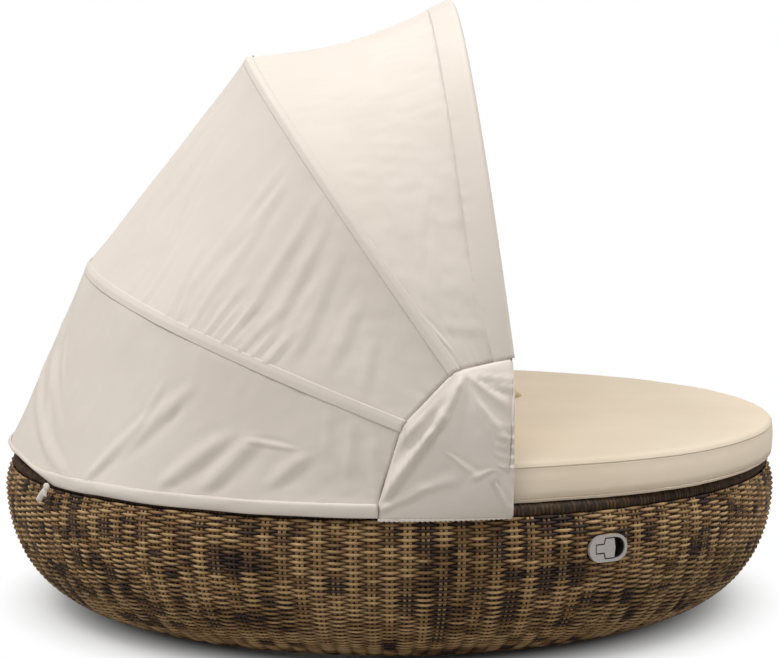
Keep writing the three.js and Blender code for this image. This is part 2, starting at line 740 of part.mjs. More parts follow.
function makeStrut() {
  const headZ = deckBottom - fitGap - strutHeadDrop;
  const footTop = footRingHeight + lowerBeamHeight / 2 + fitGap;
  const inner = strutEyeWidth / 2 + 2 * fitGap;
  const outer = inner + cheekThickness;
  const pinHole = (x, z) => rodAlongY(x, z, -outer - cutOverrun, outer + cutOverrun, strutPinRadius + fitGap);
  const foot = cut(clevis(strutFootX, strutFootZ, footTop), pinHole(strutFootX, strutFootZ));
  addPiece('strut_foot_bracket', foot, steelFinish);
  addPiece('strut_head_bracket', clevis(strutHeadX, headZ, deckBottom - fitGap), steelFinish);
  const shankEnd = outer + fitGap;
  const headEnd = shankEnd + cheekThickness / 2;
  const pin = join(
    rodAlongY(strutFootX, strutFootZ, -shankEnd, shankEnd, strutPinRadius),
    rodAlongY(strutFootX, strutFootZ, shankEnd, headEnd, 2 * strutPinRadius),
    rodAlongY(strutFootX, strutFootZ, -headEnd, -shankEnd, 2 * strutPinRadius),
  );
  addPiece('strut_foot_pin', pin, steelFinish);

  // The strut's own frame: X runs from the foot pin to the head pin.
  const frame = new THREE.Group();
  const length = Math.hypot(strutHeadX - strutFootX, headZ - strutFootZ);
  frame.position.set(strutFootX, 0, strutFootZ);
  frame.rotation.y = -Math.atan2(headZ - strutFootZ, strutHeadX - strutFootX);
  daybed.add(frame);
  const rodAlongX = (x0, x1, radius, sides = roundSides) => {
    const geometry = new THREE.CylinderGeometry(radius, radius, x1 - x0, sides);
    return toSolid(geometry.rotateZ(Math.PI / 2).translate((x0 + x1) / 2, 0, 0));
  };
  const half = strutEyeWidth / 2;
  const bodyEnd = strutNeckLength + strutBarrelLength;
  const barrel = cut(
    join(
      rodAlongY(0, 0, -half, half, strutEyeRadius),
      rodAlongX(0, strutNeckLength, strutRodRadius + fitGap),
      rodAlongX(strutNeckLength, bodyEnd, strutBarrelRadius),
    ),
    rodAlongY(0, 0, -half - cutOverrun, half + cutOverrun, strutPinRadius + fitGap),
    rodAlongX(strutNeckLength + cheekThickness, bodyEnd + cutOverrun, strutRodRadius + fitGap),
  );
  addPiece('strut_cylinder', barrel, plasticFinish, frame);
  const piston = join(
    rodAlongX(strutNeckLength + 2 * cheekThickness, length, strutRodRadius),
    rodAlongY(length, 0, -half, half, strutEyeRadius),
  );
  addPiece('strut_rod', piston, steelFinish, frame);
}

// A hood bow's centre line, in its own frame: -X runs up the leg, Y is across and Z is forward of the bow.
class BowCurve extends THREE.Curve {
  constructor(halfWidth, reach, angle, startReach) {
    super();
    this.halfWidth = halfWidth;
    this.reach = reach;
    this.crankAlong = legCrank * Math.cos(angle * degrees);
    this.crankAcross = legCrank * Math.sin(angle * degrees);
    this.startTurn = Math.asin((startReach / reach) ** (bowFullness / 2));
  }

  getPoint(t, target = new THREE.Vector3()) {
    return this.pointAt(this.startTurn + (Math.PI - 2 * this.startTurn) * t, target);
  }

  pointAt(turn, target = new THREE.Vector3()) {
    const across = Math.cos(turn);
    const along = this.reach * Math.sin(turn) ** (2 / bowFullness);
    const share = Math.min(along / legCrankLength, 1);
    const crank = share * share * (3 - 2 * share);
    const y = this.halfWidth * Math.sign(across) * Math.abs(across) ** (2 / bowFullness);
    return target.set(-(along - this.crankAlong * crank), y, this.crankAcross * crank);
  }

  turnAtReach(reach) {
    return Math.asin((reach / this.reach) ** (bowFullness / 2));
  }

  // Outward direction in the bow's plane.
  outward(turn) {
    const power = bowFullness - 1;
    const across = Math.sign(Math.cos(turn)) * Math.abs(Math.cos(turn)) ** ((2 * power) / bowFullness);
    const along = Math.sin(turn) ** ((2 * power) / bowFullness);
    return new THREE.Vector3(-along / this.reach, across / this.halfWidth, 0).normalize();
  }
}

const middleBowHalfWidth = frontBowHalfWidth + bowPitch;
const rearBowHalfWidth = middleBowHalfWidth + bowPitch;
const bows = [
  { name: 'front_bow', halfWidth: frontBowHalfWidth, reach: frontBowReach, angle: frontBowAngle },
  { name: 'middle_bow', halfWidth: middleBowHalfWidth, reach: middleBowReach, angle: middleBowAngle },
  { name: 'rear_bow', halfWidth: rearBowHalfWidth, reach: rearBowReach, angle: rearBowAngle },
];
for (const bow of bows) {
  bow.curve = new BowCurve(bow.halfWidth, bow.reach, bow.angle, tubeStart);
  bow.turn = new THREE.Matrix4().makeRotationY(bow.angle * degrees);
  bow.turn.setPosition(hoodPivotX, 0, hoodPivotZ);
}
const [frontBow, middleBow, rearBow] = bows;

function makeBows() {
  for (const bow of bows) {
    const section = new THREE.Shape();
    section.absarc(0, 0, bowTubeRadius, 0, 2 * Math.PI);
    const settings = {
      steps: bowSteps, curveSegments: tubeSides / 2, extrudePath: bow.curve, bevelEnabled: false,
    };
    let solid = toSolid(new THREE.ExtrudeGeometry(section, settings));
    const tongueShape = new THREE.Shape();
    tongueShape.moveTo(-tongueLength, -tongueHalfWidth);
    tongueShape.lineTo(0, -tongueHalfWidth);
    tongueShape.absarc(0, 0, tongueHalfWidth, -Math.PI / 2, Math.PI / 2);
    tongueShape.lineTo(-tongueLength, tongueHalfWidth);
    const half = tongueThickness / 2;
    for (const side of [-1, 1]) {
      const centre = side * bow.halfWidth;
      const tongue = plateAcrossY(tongueShape, centre - half, centre + half);
      const reach = half + cutOverrun;
      const hole = rodAlongY(0, 0, centre - reach, centre + reach, pivotBoltRadius + fitGap);
      solid = cut(join(solid, tongue), hole);
    }
    const frame = new THREE.Group();
    frame.position.set(hoodPivotX, 0, hoodPivotZ);
    frame.rotation.y = bow.angle * degrees;
    daybed.add(frame);
    addPiece(bow.name, solid, steelFinish, frame);
  }
}

function makeHoodPivots() {
  const azimuth = Math.acos(hoodPivotX / bowlRadius);
  const [plateInner, plateOuter] = [bracketPlateInner, bracketPlateOuter];
  const tongueHalf = tongueThickness / 2;
  for (const [side, name] of [[-1, 'right'], [1, 'left']]) {
    const shape = new THREE.Shape();
    shape.moveTo(hoodPivotX - bracketHalfWidth, rimHeight - bracketDrop / 2);
    shape.lineTo(hoodPivotX + bracketHalfWidth, rimHeight - bracketDrop / 2);
    shape.absarc(hoodPivotX, hoodPivotZ, bracketHalfWidth, 0, Math.PI);
    const plate = plateAcrossY(shape, side * plateInner, side * plateOuter);
    const pad = block(
      rimCentreRadius, hemRadius - clothThickness - 2 * fitGap, -bracketHalfWidth, bracketHalfWidth,
      rimHeight - bracketDrop, rimHeight,
    ).rotate([0, 0, (side * azimuth) / degrees]);
    const boss = rodAlongY(
      hoodPivotX, hoodPivotZ,
      side * plateInner, side * (frontBowHalfWidth - tongueHalf - fitGap), spacerRadius,
    );
    const bore = rodAlongY(
      hoodPivotX, hoodPivotZ, side * (plateInner - cutOverrun), side * (frontBowHalfWidth + cutOverrun),
      pivotBoltRadius + fitGap,
    );
    const bracket = cut(join(plate, pad, boss), bore, bowlPlug, rimCutter);
    addPiece(`hood_bracket_${name}`, bracket, steelFinish);

    const spacer = (from, to) => cut(
      rodAlongY(
        hoodPivotX, hoodPivotZ,
        side * (from + tongueHalf + fitGap), side * (to - tongueHalf - fitGap), spacerRadius,
      ),
      rodAlongY(
        hoodPivotX, hoodPivotZ,
        side * (from - cutOverrun), side * (to + cutOverrun), pivotBoltRadius + fitGap,
      ),
    );
    addPiece(`inner_spacer_${name}`, spacer(frontBowHalfWidth, middleBowHalfWidth), plasticFinish);
    addPiece(`outer_spacer_${name}`, spacer(middleBowHalfWidth, rearBowHalfWidth), plasticFinish);

    const headStart = rearBowHalfWidth + tongueHalf + fitGap;
    const bolt = join(
      rodAlongY(hoodPivotX, hoodPivotZ, side * (plateInner + fitGap), side * headStart, pivotBoltRadius),
      rodAlongY(
        hoodPivotX, hoodPivotZ, side * headStart, side * (headStart + pivotHeadHeight), pivotHeadRadius, 6,
      ),
    );
    addPiece(`pivot_bolt_${name}`, bolt, steelFinish);
  }
}

// Cloth: a closed sheet between an outer surface and the same surface moved inwards.
function sheet(acrossSteps, downSteps, surface) {
  const positions = [];
  const index = [];
  const row = downSteps + 1;
  const layer = (acrossSteps + 1) * row;
  for (const depth of [0, clothThickness]) {
    for (let i = 0; i <= acrossSteps; i += 1) {
      for (let j = 0; j <= downSteps; j += 1) {
        const { point, outward } = surface(i / acrossSteps, j / downSteps);
        positions.push(...point.clone().addScaledVector(outward, -depth).toArray());
      }
    }
  }
  const quad = (a, b, c, d) => index.push(a, b, c, a, c, d);
  for (let i = 0; i < acrossSteps; i += 1) {
    for (let j = 0; j < downSteps; j += 1) {
      const a = i * row + j;
      quad(a, a + row, a + row + 1, a + 1);
      quad(layer + a, layer + a + 1, layer + a + row + 1, layer + a + row);
    }
  }
  for (let i = 0; i < acrossSteps; i += 1) {
    const [a, b] = [i * row, i * row + downSteps];
    quad(a, layer + a, layer + a + row, a + row);
    quad(b, b + row, layer + b + row, layer + b);
  }
  for (let j = 0; j < downSteps; j += 1) {
    const b = acrossSteps * row + j;
    quad(j, j + 1, layer + j + 1, layer + j);
    quad(b, layer + b, layer + b + 1, b + 1);
  }
  const geometry = new THREE.BufferGeometry();
  geometry.setAttribute('position', new THREE.BufferAttribute(new Float32Array(positions), 3));
  geometry.setIndex(index);
  return geometry;
}

// The point of the hood's outer surface over a bow, at a share of the way round from its right foot.
function overBow(bow, footReach, share) {
  const start = bow.curve.turnAtReach(footReach);
  const turn = Math.PI - start - (Math.PI - 2 * start) * share;
  const outward = bow.curve.outward(turn);
  const lift = bowTubeRadius + clothStandoff + clothThickness;
  const point = bow.curve.pointAt(turn).addScaledVector(outward, lift);
  point.applyMatrix4(bow.turn);
  outward.transformDirection(bow.turn);
  return { point, outward };
}

// Cloth stretched between two edges: straight across, sagging inwards, with soft folds.
function stretched(first, second, share, across, sag, fold) {
  const span = first.point.distanceTo(second.point);
  const trim = seamGap / span;
  const v = trim + across * (1 - 2 * trim);
  const outward = first.outward.clone().lerp(second.outward, v).normalize();
  const point = first.point.clone().lerp(second.point, v);
  const belly = 4 * v * (1 - v);
  point.addScaledVector(outward, -belly * (sag * Math.sin(Math.PI * share) + fold));
  return { point, outward };
}

const panelFolds = 9;
const foldSkew = 5;
const panelAcross = 34;
const panelDown = 6;
const rearSkirtShare = (panelDown - 1) / panelDown;

function makeHoodCloth() {
  const fold = (share, across, phase) => {
    const fade = 1 - (2 * share - 1) ** 8;
    const wave = Math.cos(2 * Math.PI * panelFolds * share + foldSkew * across + phase);
    return foldDepth * fade * (0.5 + 0.5 * wave);
  };
  const panel = (name, a, reachA, b, reachB, sag, phase) => {
    const surface = (share, across) => stretched(
      overBow(a, reachA, share), overBow(b, reachB, share), share, across, sag, fold(share, across, phase),
    );
    addPiece(name, sheet(panelAcross, panelDown, surface), clothFinish);
  };
  panel('front_panel', frontBow, frontFootReach, middleBow, middleFootReach, frontSag, 0);
  panel('middle_panel', middleBow, middleFootReach, rearBow, rearFootReach, middleSag, 1);

  const hemStart = Math.acos(gussetHemRearX / hemRadius);
  const rearSurface = (share, down) => {
    const top = overBow(rearBow, rearFootReach, share);
    const azimuth = -hemStart - (2 * Math.PI - 2 * hemStart) * share;
    const outward = new THREE.Vector3(Math.cos(azimuth), Math.sin(azimuth), 0);
    const rim = outward.clone().multiplyScalar(hemRadius).setZ(skirtRimHeight);
    if (down > rearSkirtShare) {
      const drop = (down - rearSkirtShare) / (1 - rearSkirtShare);
      return { point: rim.setZ(skirtRimHeight + (hemHeight - skirtRimHeight) * drop), outward };
    }
    const across = down / rearSkirtShare;
    const span = top.point.distanceTo(rim);
    const v = seamGap / span + across * (1 - seamGap / span);
    const direction = top.outward.clone().lerp(outward, v).normalize();
    const point = top.point.clone().lerp(rim, v);
    const belly = 4 * v * (1 - v);
    point.addScaledVector(direction, -belly * fold(share, across, 2));
    return { point, outward: direction };
  };
  addPiece('rear_panel', sheet(panelAcross, panelDown, rearSurface), clothFinish);

  for (const [side, name] of [[-1, 'right'], [1, 'left']]) {
    addPiece(`gusset_${name}`, gusset(side), clothFinish);
    addPiece(`hem_tie_${name}`, hemTie(side), clothFinish);
  }
}

const gussetRings = 4;
const gussetFolds = 7;
const gussetFoldShare = 0.6;
const hemSteps = 6;

// The side gusset: a fan of cloth round the pivot, from the front edge over the bows' feet to the hem.
function gusset(side) {
  const share = side < 0 ? 0 : 1;
  const corner = (bow, reach) => overBow(bow, reach, share).point;
  const onHem = (x, z) => new THREE.Vector3(x, side * Math.sqrt(hemRadius ** 2 - x ** 2), z);
  const stackOuter = rearBowHalfWidth + tongueThickness / 2 + fitGap + pivotHeadHeight;
  const bulge = side * (stackOuter + 2 * fitGap + clothThickness);
  const hub = new THREE.Vector3(hoodPivotX, bulge, hoodPivotZ);
  const front = corner(frontBow, frontFootReach);
  const corners = [];
  for (let i = 0; i <= hemSteps; i += 1) {
    corners.push(onHem(gussetFrontX + ((gussetHemRearX - gussetFrontX) * i) / hemSteps, hemHeight));
  }
  corners.push(onHem(gussetHemRearX, skirtRimHeight));
  corners.push(corner(rearBow, rearFootReach));
  corners.push(corner(middleBow, middleFootReach));
  corners.push(front);
  corners.push(new THREE.Vector3(front.x + gussetFrontTopLead, front.y, front.z - gussetFrontTopLead));
  corners.push(new THREE.Vector3(gussetFrontX, bulge, hoodPivotZ + pivotHeadRadius));
  corners.push(new THREE.Vector3(gussetFrontX, bulge, hoodPivotZ - pivotHeadRadius));
  const rim = [];
  corners.forEach((from, i) => {
    const to = corners[(i + 1) % corners.length];
    const steps = Math.max(1, Math.round(from.distanceTo(to) / gussetStep));
    for (let k = 0; k < steps; k += 1) rim.push(from.clone().lerp(to, k / steps));
  });
  const positions = [];
  const loops = [];
  const ring = (radiusShare, depth) => {
    loops.push(positions.length / 3);
    rim.forEach((point, i) => {
      const inset = 1 - gussetSeamGap / Math.hypot(point.x - hub.x, point.z - hub.z);
      const reach = radiusShare * inset;
      const wave = 0.5 + 0.5 * Math.cos((2 * Math.PI * gussetFolds * i) / rim.length);
      const lift = foldDepth * gussetFoldShare * 4 * radiusShare * (1 - radiusShare) * wave;
      const y = hub.y + (point.y - hub.y) * radiusShare ** 3 + side * (lift - depth);
      positions.push(hub.x + (point.x - hub.x) * reach, y, hub.z + (point.z - hub.z) * reach);
    });
  };
  for (let k = 1; k <= gussetRings; k += 1) ring(k / gussetRings, 0);
  for (let k = gussetRings; k >= 1; k -= 1) ring(k / gussetRings, clothThickness);
  return loftLoops(positions, loops, rim.length);
}

// A short knotted tie that hangs from the hem.
function hemTie(side) {
  const azimuth = side * tieAzimuth * degrees;
  const reach = hemRadius + tieRadius + fitGap;
  const knot = new THREE.SphereGeometry(tieRadius, tubeSides, tubeSides);
  const tail = new THREE.CylinderGeometry(tieRadius / 3, tieRadius / 2, tieLength, tubeSides);
  tail.rotateX(Math.PI / 2).translate(0, 0, -tieLength / 2);
  const solid = join(toSolid(knot), toSolid(tail));
  return toGeometry(solid).translate(reach * Math.cos(azimuth), reach * Math.sin(azimuth), hemHeight);
}

// Handle: shares of the bezel's width and height, measured from its centre.
const paddleTabLeftShare = -0.31;
const paddleShoulderShare = -0.1;
const paddleRightShare = 0.18;
const paddleTabHalfShare = 0.14;
const paddleHalfShare = 0.35;
const paddleTaperShare = 0.03;

function paddleOutline(grow) {
  const left = paddleTabLeftShare * bezelWidth - grow;
  const shoulder = paddleShoulderShare * bezelWidth - grow;
  const right = paddleRightShare * bezelWidth + grow;
  const tab = paddleTabHalfShare * bezelHeight + grow;
  const wide = paddleHalfShare * bezelHeight + grow;
  const taper = paddleTaperShare * bezelWidth;
  return outline(
    [left, -tab], [shoulder, -tab], [shoulder + taper, -wide], [right - taper, -wide], [right, 0],
    [right - taper, wide], [shoulder + taper, wide], [shoulder, tab], [left, tab],
  );
}

function makeHandle() {
  const cup = extrudeOut(stadium(cupWidth, cupHeight), -cupDepth, 0);
  const wellOutline = stadium(cupWidth - 2 * cupWall, cupHeight - 2 * cupWall);
  const well = extrudeOut(wellOutline, cupWall - cupDepth, cutOverrun);
  addPiece('handle_cup', cut(cup, well), plasticFinish, handleFrame);

  // The bezel follows the wall behind it, and leaves the paddle and the finger recess open.
  const top = fitGap + bezelThickness;
  const toHandle = handleFrame.matrix.clone().invert();
  const wall = toSolid(toGeometry(bowlPlug).applyMatrix4(toHandle));
  const cupPlug = extrudeOut(stadium(cupWidth + 2 * fitGap, cupHeight + 2 * fitGap), -cupDepth, fitGap);
  const face = extrudeOut(stadium(bezelWidth, bezelHeight), -bezelThickness, top);
  const inside = extrudeOut(
    stadium(bezelWidth - 2 * bezelBorder, bezelHeight - 2 * bezelBorder), -cutOverrun, top + cutOverrun,
  );
  const recessLeft = (paddleRightShare - paddleTaperShare) * bezelWidth;
  const recess = inside.intersect(block(
    recessLeft, bezelWidth, -bezelHeight, bezelHeight, -2 * cutOverrun, top + 2 * cutOverrun,
  ));
  const slot = extrudeOut(paddleOutline(paddleGap), -cutOverrun, top + cutOverrun);

  const pinX = paddleTabLeftShare * bezelWidth + paddleBarrelRadius;
  const tab = paddleTabHalfShare * bezelHeight;
  const lugStart = tab + paddleGap;
  const post = (radius, y0, y1, sides = roundSides) => {
    const geometry = new THREE.CylinderGeometry(radius, radius, y1 - y0, sides);
    return toSolid(geometry.translate(pinX, (y0 + y1) / 2, -paddlePinDepth));
  };
  const lug = (y0, y1) => block(
    pinX - paddleBarrelRadius, pinX + paddleBarrelRadius, y0, y1, -paddlePinDepth - paddleBarrelRadius, top,
  );
  const lugEnd = lugStart + lugWidth;
  const pinHole = post(paddlePinRadius + fitGap, -lugEnd - cutOverrun, lugEnd + cutOverrun);
  const bezel = join(
    cut(face, wall, cupPlug, recess, slot), lug(lugStart, lugEnd), lug(-lugEnd, -lugStart),
  );
  addPiece('handle_bezel', cut(bezel, pinHole), bezelFinish, handleFrame);

  const barrelBottom = tab - paddleBarrelLength;
  const plate = extrudeOut(paddleOutline(0), top - paddleThickness, top);
  const web = block(
    pinX - paddleBarrelRadius, pinX + paddleBarrelRadius, barrelBottom, tab, -paddlePinDepth,
    top - paddleThickness / 2,
  );
  addPiece(
    'release_paddle', cut(join(plate, web, post(paddleBarrelRadius, barrelBottom, tab)), pinHole),
    bezelFinish, handleFrame,
  );
  addPiece('paddle_pin', post(paddlePinRadius, -lugEnd, lugEnd), steelFinish, handleFrame);

  // Return spring: an open coil round the pin between the paddle's barrel and the lower lug.
  const springRadius = paddlePinRadius + springClearance + springWireRadius;
  const springTop = barrelBottom - fitGap - springWireRadius;
  const coilAt = (turns) => new THREE.Vector3(
    pinX + springRadius * Math.cos(2 * Math.PI * turns),
    springTop - springPitch * turns,
    springRadius * Math.sin(2 * Math.PI * turns) - paddlePinDepth,
  );
  class Coil extends THREE.Curve {
    getPoint(t, target = new THREE.Vector3()) {
      return target.copy(coilAt(springTurns * t));
    }
  }
  const wire = new THREE.Shape();
  wire.absarc(0, 0, springWireRadius, 0, 2 * Math.PI);
  const settings = { steps: 8 * springTurns, curveSegments: 3, extrudePath: new Coil(), bevelEnabled: false };
  addPiece('paddle_spring', new THREE.ExtrudeGeometry(wire, settings), steelFinish, handleFrame);
}

// Two scatter pillows lie on the back half of the mattress, one on the other. A heading points to the
// corner that the pillow tilts towards.
function makePillows() {
  const flatZ = cushionBottom + cushionThickness + cushionCrown * pillowSeatShare + pillowThickness / 2;
  const slope = Math.cos(frontPillowTilt * degrees);
  const frontZ = flatZ + (pillowThickness / 2) * (1 + 1 / slope) + fitGap;
  const pillow = (name, x, y, z, heading, tilt) => {
    const frame = new THREE.Group();
    frame.position.set(x, y, z);
    frame.rotation.z = heading * degrees;
    const lean = new THREE.Group();
    lean.rotation.y = tilt * degrees;
    frame.add(lean);
    daybed.add(frame);
    addPiece(name, pillowShape(), cushionFinish, lean).rotation.z = Math.PI / 4;
  };
  pillow('flat_pillow', flatPillowX, flatPillowY, flatZ, flatPillowHeading, 0);
  pillow('front_pillow', frontPillowX, frontPillowY, frontZ, frontPillowHeading, frontPillowTilt);
}

makeBowl();
makeFrame();
makeDecks();
makeSoftParts();
makeBack();
makeStrut();
makeHoodPivots();
makeBows();
makeHoodCloth();
makeHandle();
makePillows();

export default daybed;
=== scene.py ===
"""Outdoor daybed with a folding canopy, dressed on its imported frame.

A woven bowl carries a round mattress in two halves and a hood of cloth on three bows. Every size is in
millimetres in the fields below and becomes metres where a mesh is made. The origin is the centre of the base
on the floor, +X is the open foot end and +Z is up.
"""

import itertools
import json
import logging
import math
from collections.abc import Iterator, Sequence
from contextlib import contextmanager
from dataclasses import dataclass, field
from enum import Enum

import bmesh
import bpy
import numpy as np
from mathutils import Matrix, Vector, noise

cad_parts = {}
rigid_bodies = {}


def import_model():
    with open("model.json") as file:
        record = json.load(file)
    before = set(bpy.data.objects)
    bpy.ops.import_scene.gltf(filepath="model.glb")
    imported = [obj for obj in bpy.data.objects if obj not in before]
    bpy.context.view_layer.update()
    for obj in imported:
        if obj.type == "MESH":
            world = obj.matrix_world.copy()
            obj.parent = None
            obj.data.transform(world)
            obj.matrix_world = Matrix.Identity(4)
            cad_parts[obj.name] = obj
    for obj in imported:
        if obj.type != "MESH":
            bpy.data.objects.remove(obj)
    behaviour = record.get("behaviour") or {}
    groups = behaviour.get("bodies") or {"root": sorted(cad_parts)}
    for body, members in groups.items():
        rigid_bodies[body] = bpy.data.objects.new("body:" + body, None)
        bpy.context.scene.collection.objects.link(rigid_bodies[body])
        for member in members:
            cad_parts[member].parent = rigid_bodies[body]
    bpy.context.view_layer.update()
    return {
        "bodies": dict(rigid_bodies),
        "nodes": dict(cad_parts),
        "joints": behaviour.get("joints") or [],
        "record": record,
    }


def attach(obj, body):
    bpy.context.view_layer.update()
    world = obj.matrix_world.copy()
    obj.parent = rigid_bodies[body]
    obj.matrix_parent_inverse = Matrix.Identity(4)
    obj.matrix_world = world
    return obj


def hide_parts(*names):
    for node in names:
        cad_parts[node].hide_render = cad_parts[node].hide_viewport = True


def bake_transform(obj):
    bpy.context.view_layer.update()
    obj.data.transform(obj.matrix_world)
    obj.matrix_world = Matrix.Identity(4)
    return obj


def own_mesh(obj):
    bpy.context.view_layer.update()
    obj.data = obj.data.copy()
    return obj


MM = 0.001
WHITE = (1.0, 1.0, 1.0, 1.0)
WELD = 1e-5  # Points nearer than this, in metres, are one point.
SIDES = {"right": -1, "left": 1}  # Which way each side lies along Y.
LOG = logging.getLogger("daybed")


def linear(colour: str) -> tuple[float, float, float, float]:
    """Turns an sRGB hex colour into the linear red, green, blue and alpha that a shader takes."""
    parts = [int(colour[i : i + 2], 16) / 255 for i in (1, 3, 5)]
    red, green, blue = (p / 12.92 if p <= 0.04045 else ((p + 0.055) / 1.055) ** 2.4 for p in parts)
    return (red, green, blue, 1.0)


def set_input(node: bpy.types.Node, key: int | str, value: object) -> None:
    """Links an output socket to a node's input, or sets the input's value.

    Args:
        node: The node that gets it.
        key: The input's index, or its name with underscores for spaces.
        value: The socket or the value.
    """
    socket = node.inputs[key.replace("_", " ") if isinstance(key, str) else key]
    if isinstance(value, bpy.types.NodeSocket):
        node.id_data.links.new(value, socket)
    else:
        socket.default_value = value


def add_node(
    tree: bpy.types.NodeTree,
    kind: str,
    *values,
    out: int | str = 0,
    stops: Sequence[tuple[float, str]] = (),
    settings: dict | None = None,
    **inputs,
) -> bpy.types.NodeSocket:
    """Adds a shader node with its settings, its values and its links.

    Args:
        tree: The node tree that gets the node.
        kind: The node's type name without its prefix.
        values: Values or output sockets for the first inputs, in order.
        out: The index or name of the output that is wanted.
        stops: Rising positions and their hex colours, for a ramp.
        settings: Attributes of the node.
        inputs: Values or output sockets by input name, with underscores for spaces.

    Returns:
        The wanted output of the new node.
    """
    node = tree.nodes.new(f"ShaderNode{kind}")
    for name, value in (settings or {}).items():
        setattr(node, name, value)
    for position, _ in stops[2:]:
        node.color_ramp.elements.new(position)
    for element, (position, colour) in zip(node.color_ramp.elements if stops else (), stops):
        element.position = position
        element.color = linear(colour)
    for key, value in [*enumerate(values), *inputs.items()]:
        set_input(node, key, value)
    return node.outputs[out]


def calculate(tree: bpy.types.NodeTree, operation: str, *values) -> bpy.types.NodeSocket:
    """Works out an operation on values or sockets and gives the result's socket."""
    return add_node(tree, "Math", *values, settings={"operation": operation})


def mix(
    tree: bpy.types.NodeTree, factor: object, a: object, b: object, blend: str = "MIX"
) -> bpy.types.NodeSocket:
    """Blends the colours a and b, each a value or a socket, and gives the result's socket."""
    kind = {"data_type": "RGBA", "blend_type": blend}
    return add_node(tree, "Mix", Factor=factor, A=a, B=b, out="Result", settings=kind)


def lumps(tree: bpy.types.NodeTree, place: object, size: float, detail: float) -> bpy.types.NodeSocket:
    """Gives noise on a place socket, with lumps of a size in millimetres."""
    return add_node(tree, "TexNoise", Vector=place, Scale=1 / (size * MM), Detail=detail, out="Fac")


def new_material(name: str, **values) -> tuple[bpy.types.Material, bpy.types.NodeTree, bpy.types.Node]:
    """Starts a material with one principled shader.

    Args:
        name: The material's name.
        values: The shader's own values by input name, with underscores for spaces.

    Returns:
        The material, its tree and its shader.
    """
    material = bpy.data.materials.new(name)
    material.use_nodes = True
    shader = material.node_tree.nodes["Principled BSDF"]
    for key, value in values.items():
        set_input(shader, key, value)
    return material, material.node_tree, shader


def cover(shader: bpy.types.Node, colour: object, height: object, strength: float, depth: float) -> None:
    """Gives a shader its colour and its bump.

    Args:
        shader: The principled shader.
        colour: The colour's socket.
        height: The bump's socket.
        strength: The bump's strength.
        depth: The bump's depth in millimetres.
    """
    bump = add_node(shader.id_data, "Bump", Height=height, Strength=strength, Distance=depth * MM)
    set_input(shader, "Base_Color", colour)
    set_input(shader, "Normal", bump)


def object_from(
    bm: bmesh.types.BMesh, name: str, finish: bpy.types.Material, recalc: bool = True
) -> bpy.types.Object:
    """Makes a smooth-shaded object at the origin out of a bmesh and frees the bmesh.

    Args:
        bm: The shape, in metres.
        name: The piece's name.
        finish: The piece's material.
        recalc: Whether the normals are turned outwards first.

    Returns:
        The object, linked to the scene.
    """
    if recalc:
        bmesh.ops.recalc_face_normals(bm, faces=bm.faces)
    for face in bm.faces:
        face.smooth = True
    mesh = bpy.data.meshes.new(name)
    bm.to_mesh(mesh)
    bm.free()
    mesh.materials.append(finish)
    piece = bpy.data.objects.new(name, mesh)
    bpy.context.scene.collection.objects.link(piece)
    LOG.info("%s: %d faces", name, len(mesh.polygons))
    return piece


@contextmanager
def editing(mesh: bpy.types.Mesh) -> Iterator[bmesh.types.BMesh]:
    """Opens a mesh as a bmesh and writes it back at the end."""
    bm = bmesh.new()
    bm.from_mesh(mesh)
    yield bm
    bm.to_mesh(mesh)
    bm.free()


def open_edges(bm: bmesh.types.BMesh) -> list[bmesh.types.BMEdge]:
    """Lists the edges with one face."""
    return [edge for edge in bm.edges if edge.is_boundary]


def closed_section(bm: bmesh.types.BMesh, points: Sequence[Vector]) -> tuple[list, list]:
    """Adds a closed outline and gives its vertices and its edges.

    Args:
        bm: The bmesh that gets the outline.
        points: The outline in millimetres.
    """
    verts = [bm.verts.new(point * MM) for point in points]
    return verts, [bm.edges.new((verts[i], verts[(i + 1) % len(verts)])) for i in range(len(verts))]


def spin_round(bm: bmesh.types.BMesh, edges: list[bmesh.types.BMEdge], steps: int, sectors: int) -> None:
    """Spins a closed section all the way round the vertical axis, one sector first and then its copies.

    Args:
        bm: The bmesh that holds only the section.
        edges: The section's edges.
        steps: The steps in a whole turn.
        sectors: How many equal sectors the turn is made of.
    """
    centre, axis, part = (0, 0, 0), (0, 0, 1), 2 * math.pi / sectors
    bmesh.ops.spin(bm, geom=bm.verts[:] + edges, cent=centre, axis=axis, angle=part, steps=steps // sectors)
    repeat_round(bm, sectors)
    bmesh.ops.remove_doubles(bm, verts=bm.verts, dist=1e-6)


def repeat_round(bm: bmesh.types.BMesh, count: int) -> None:
    """Copies all that a bmesh holds round the vertical axis until there are count of it."""
    whole = bm.verts[:] + bm.edges[:] + bm.faces[:]
    turn, centre, axis = 2 * math.pi / count * (count - 1), (0, 0, 0), (0, 0, 1)
    bmesh.ops.spin(bm, geom=whole, cent=centre, axis=axis, angle=turn, steps=count - 1, use_duplicate=True)


def coordinates(mesh: bpy.types.Mesh, kind: str = "co") -> np.ndarray:
    """Gives a mesh's points, or their normals where kind is normal, as rows of x, y and z."""
    values = np.zeros(len(mesh.vertices) * 3)
    mesh.vertices.foreach_get(kind, values)
    return values.reshape(-1, 3)


def set_coordinates(mesh: bpy.types.Mesh, points: np.ndarray) -> None:
    """Moves a mesh's points to the rows given."""
    mesh.vertices.foreach_set("co", points.astype(np.float32).ravel())
    mesh.update()


def read_values(mesh: bpy.types.Mesh, name: str) -> np.ndarray:
    """Gives a float attribute's value at each point."""
    values = np.zeros(len(mesh.vertices))
    mesh.attributes[name].data.foreach_get("value", values)
    return values


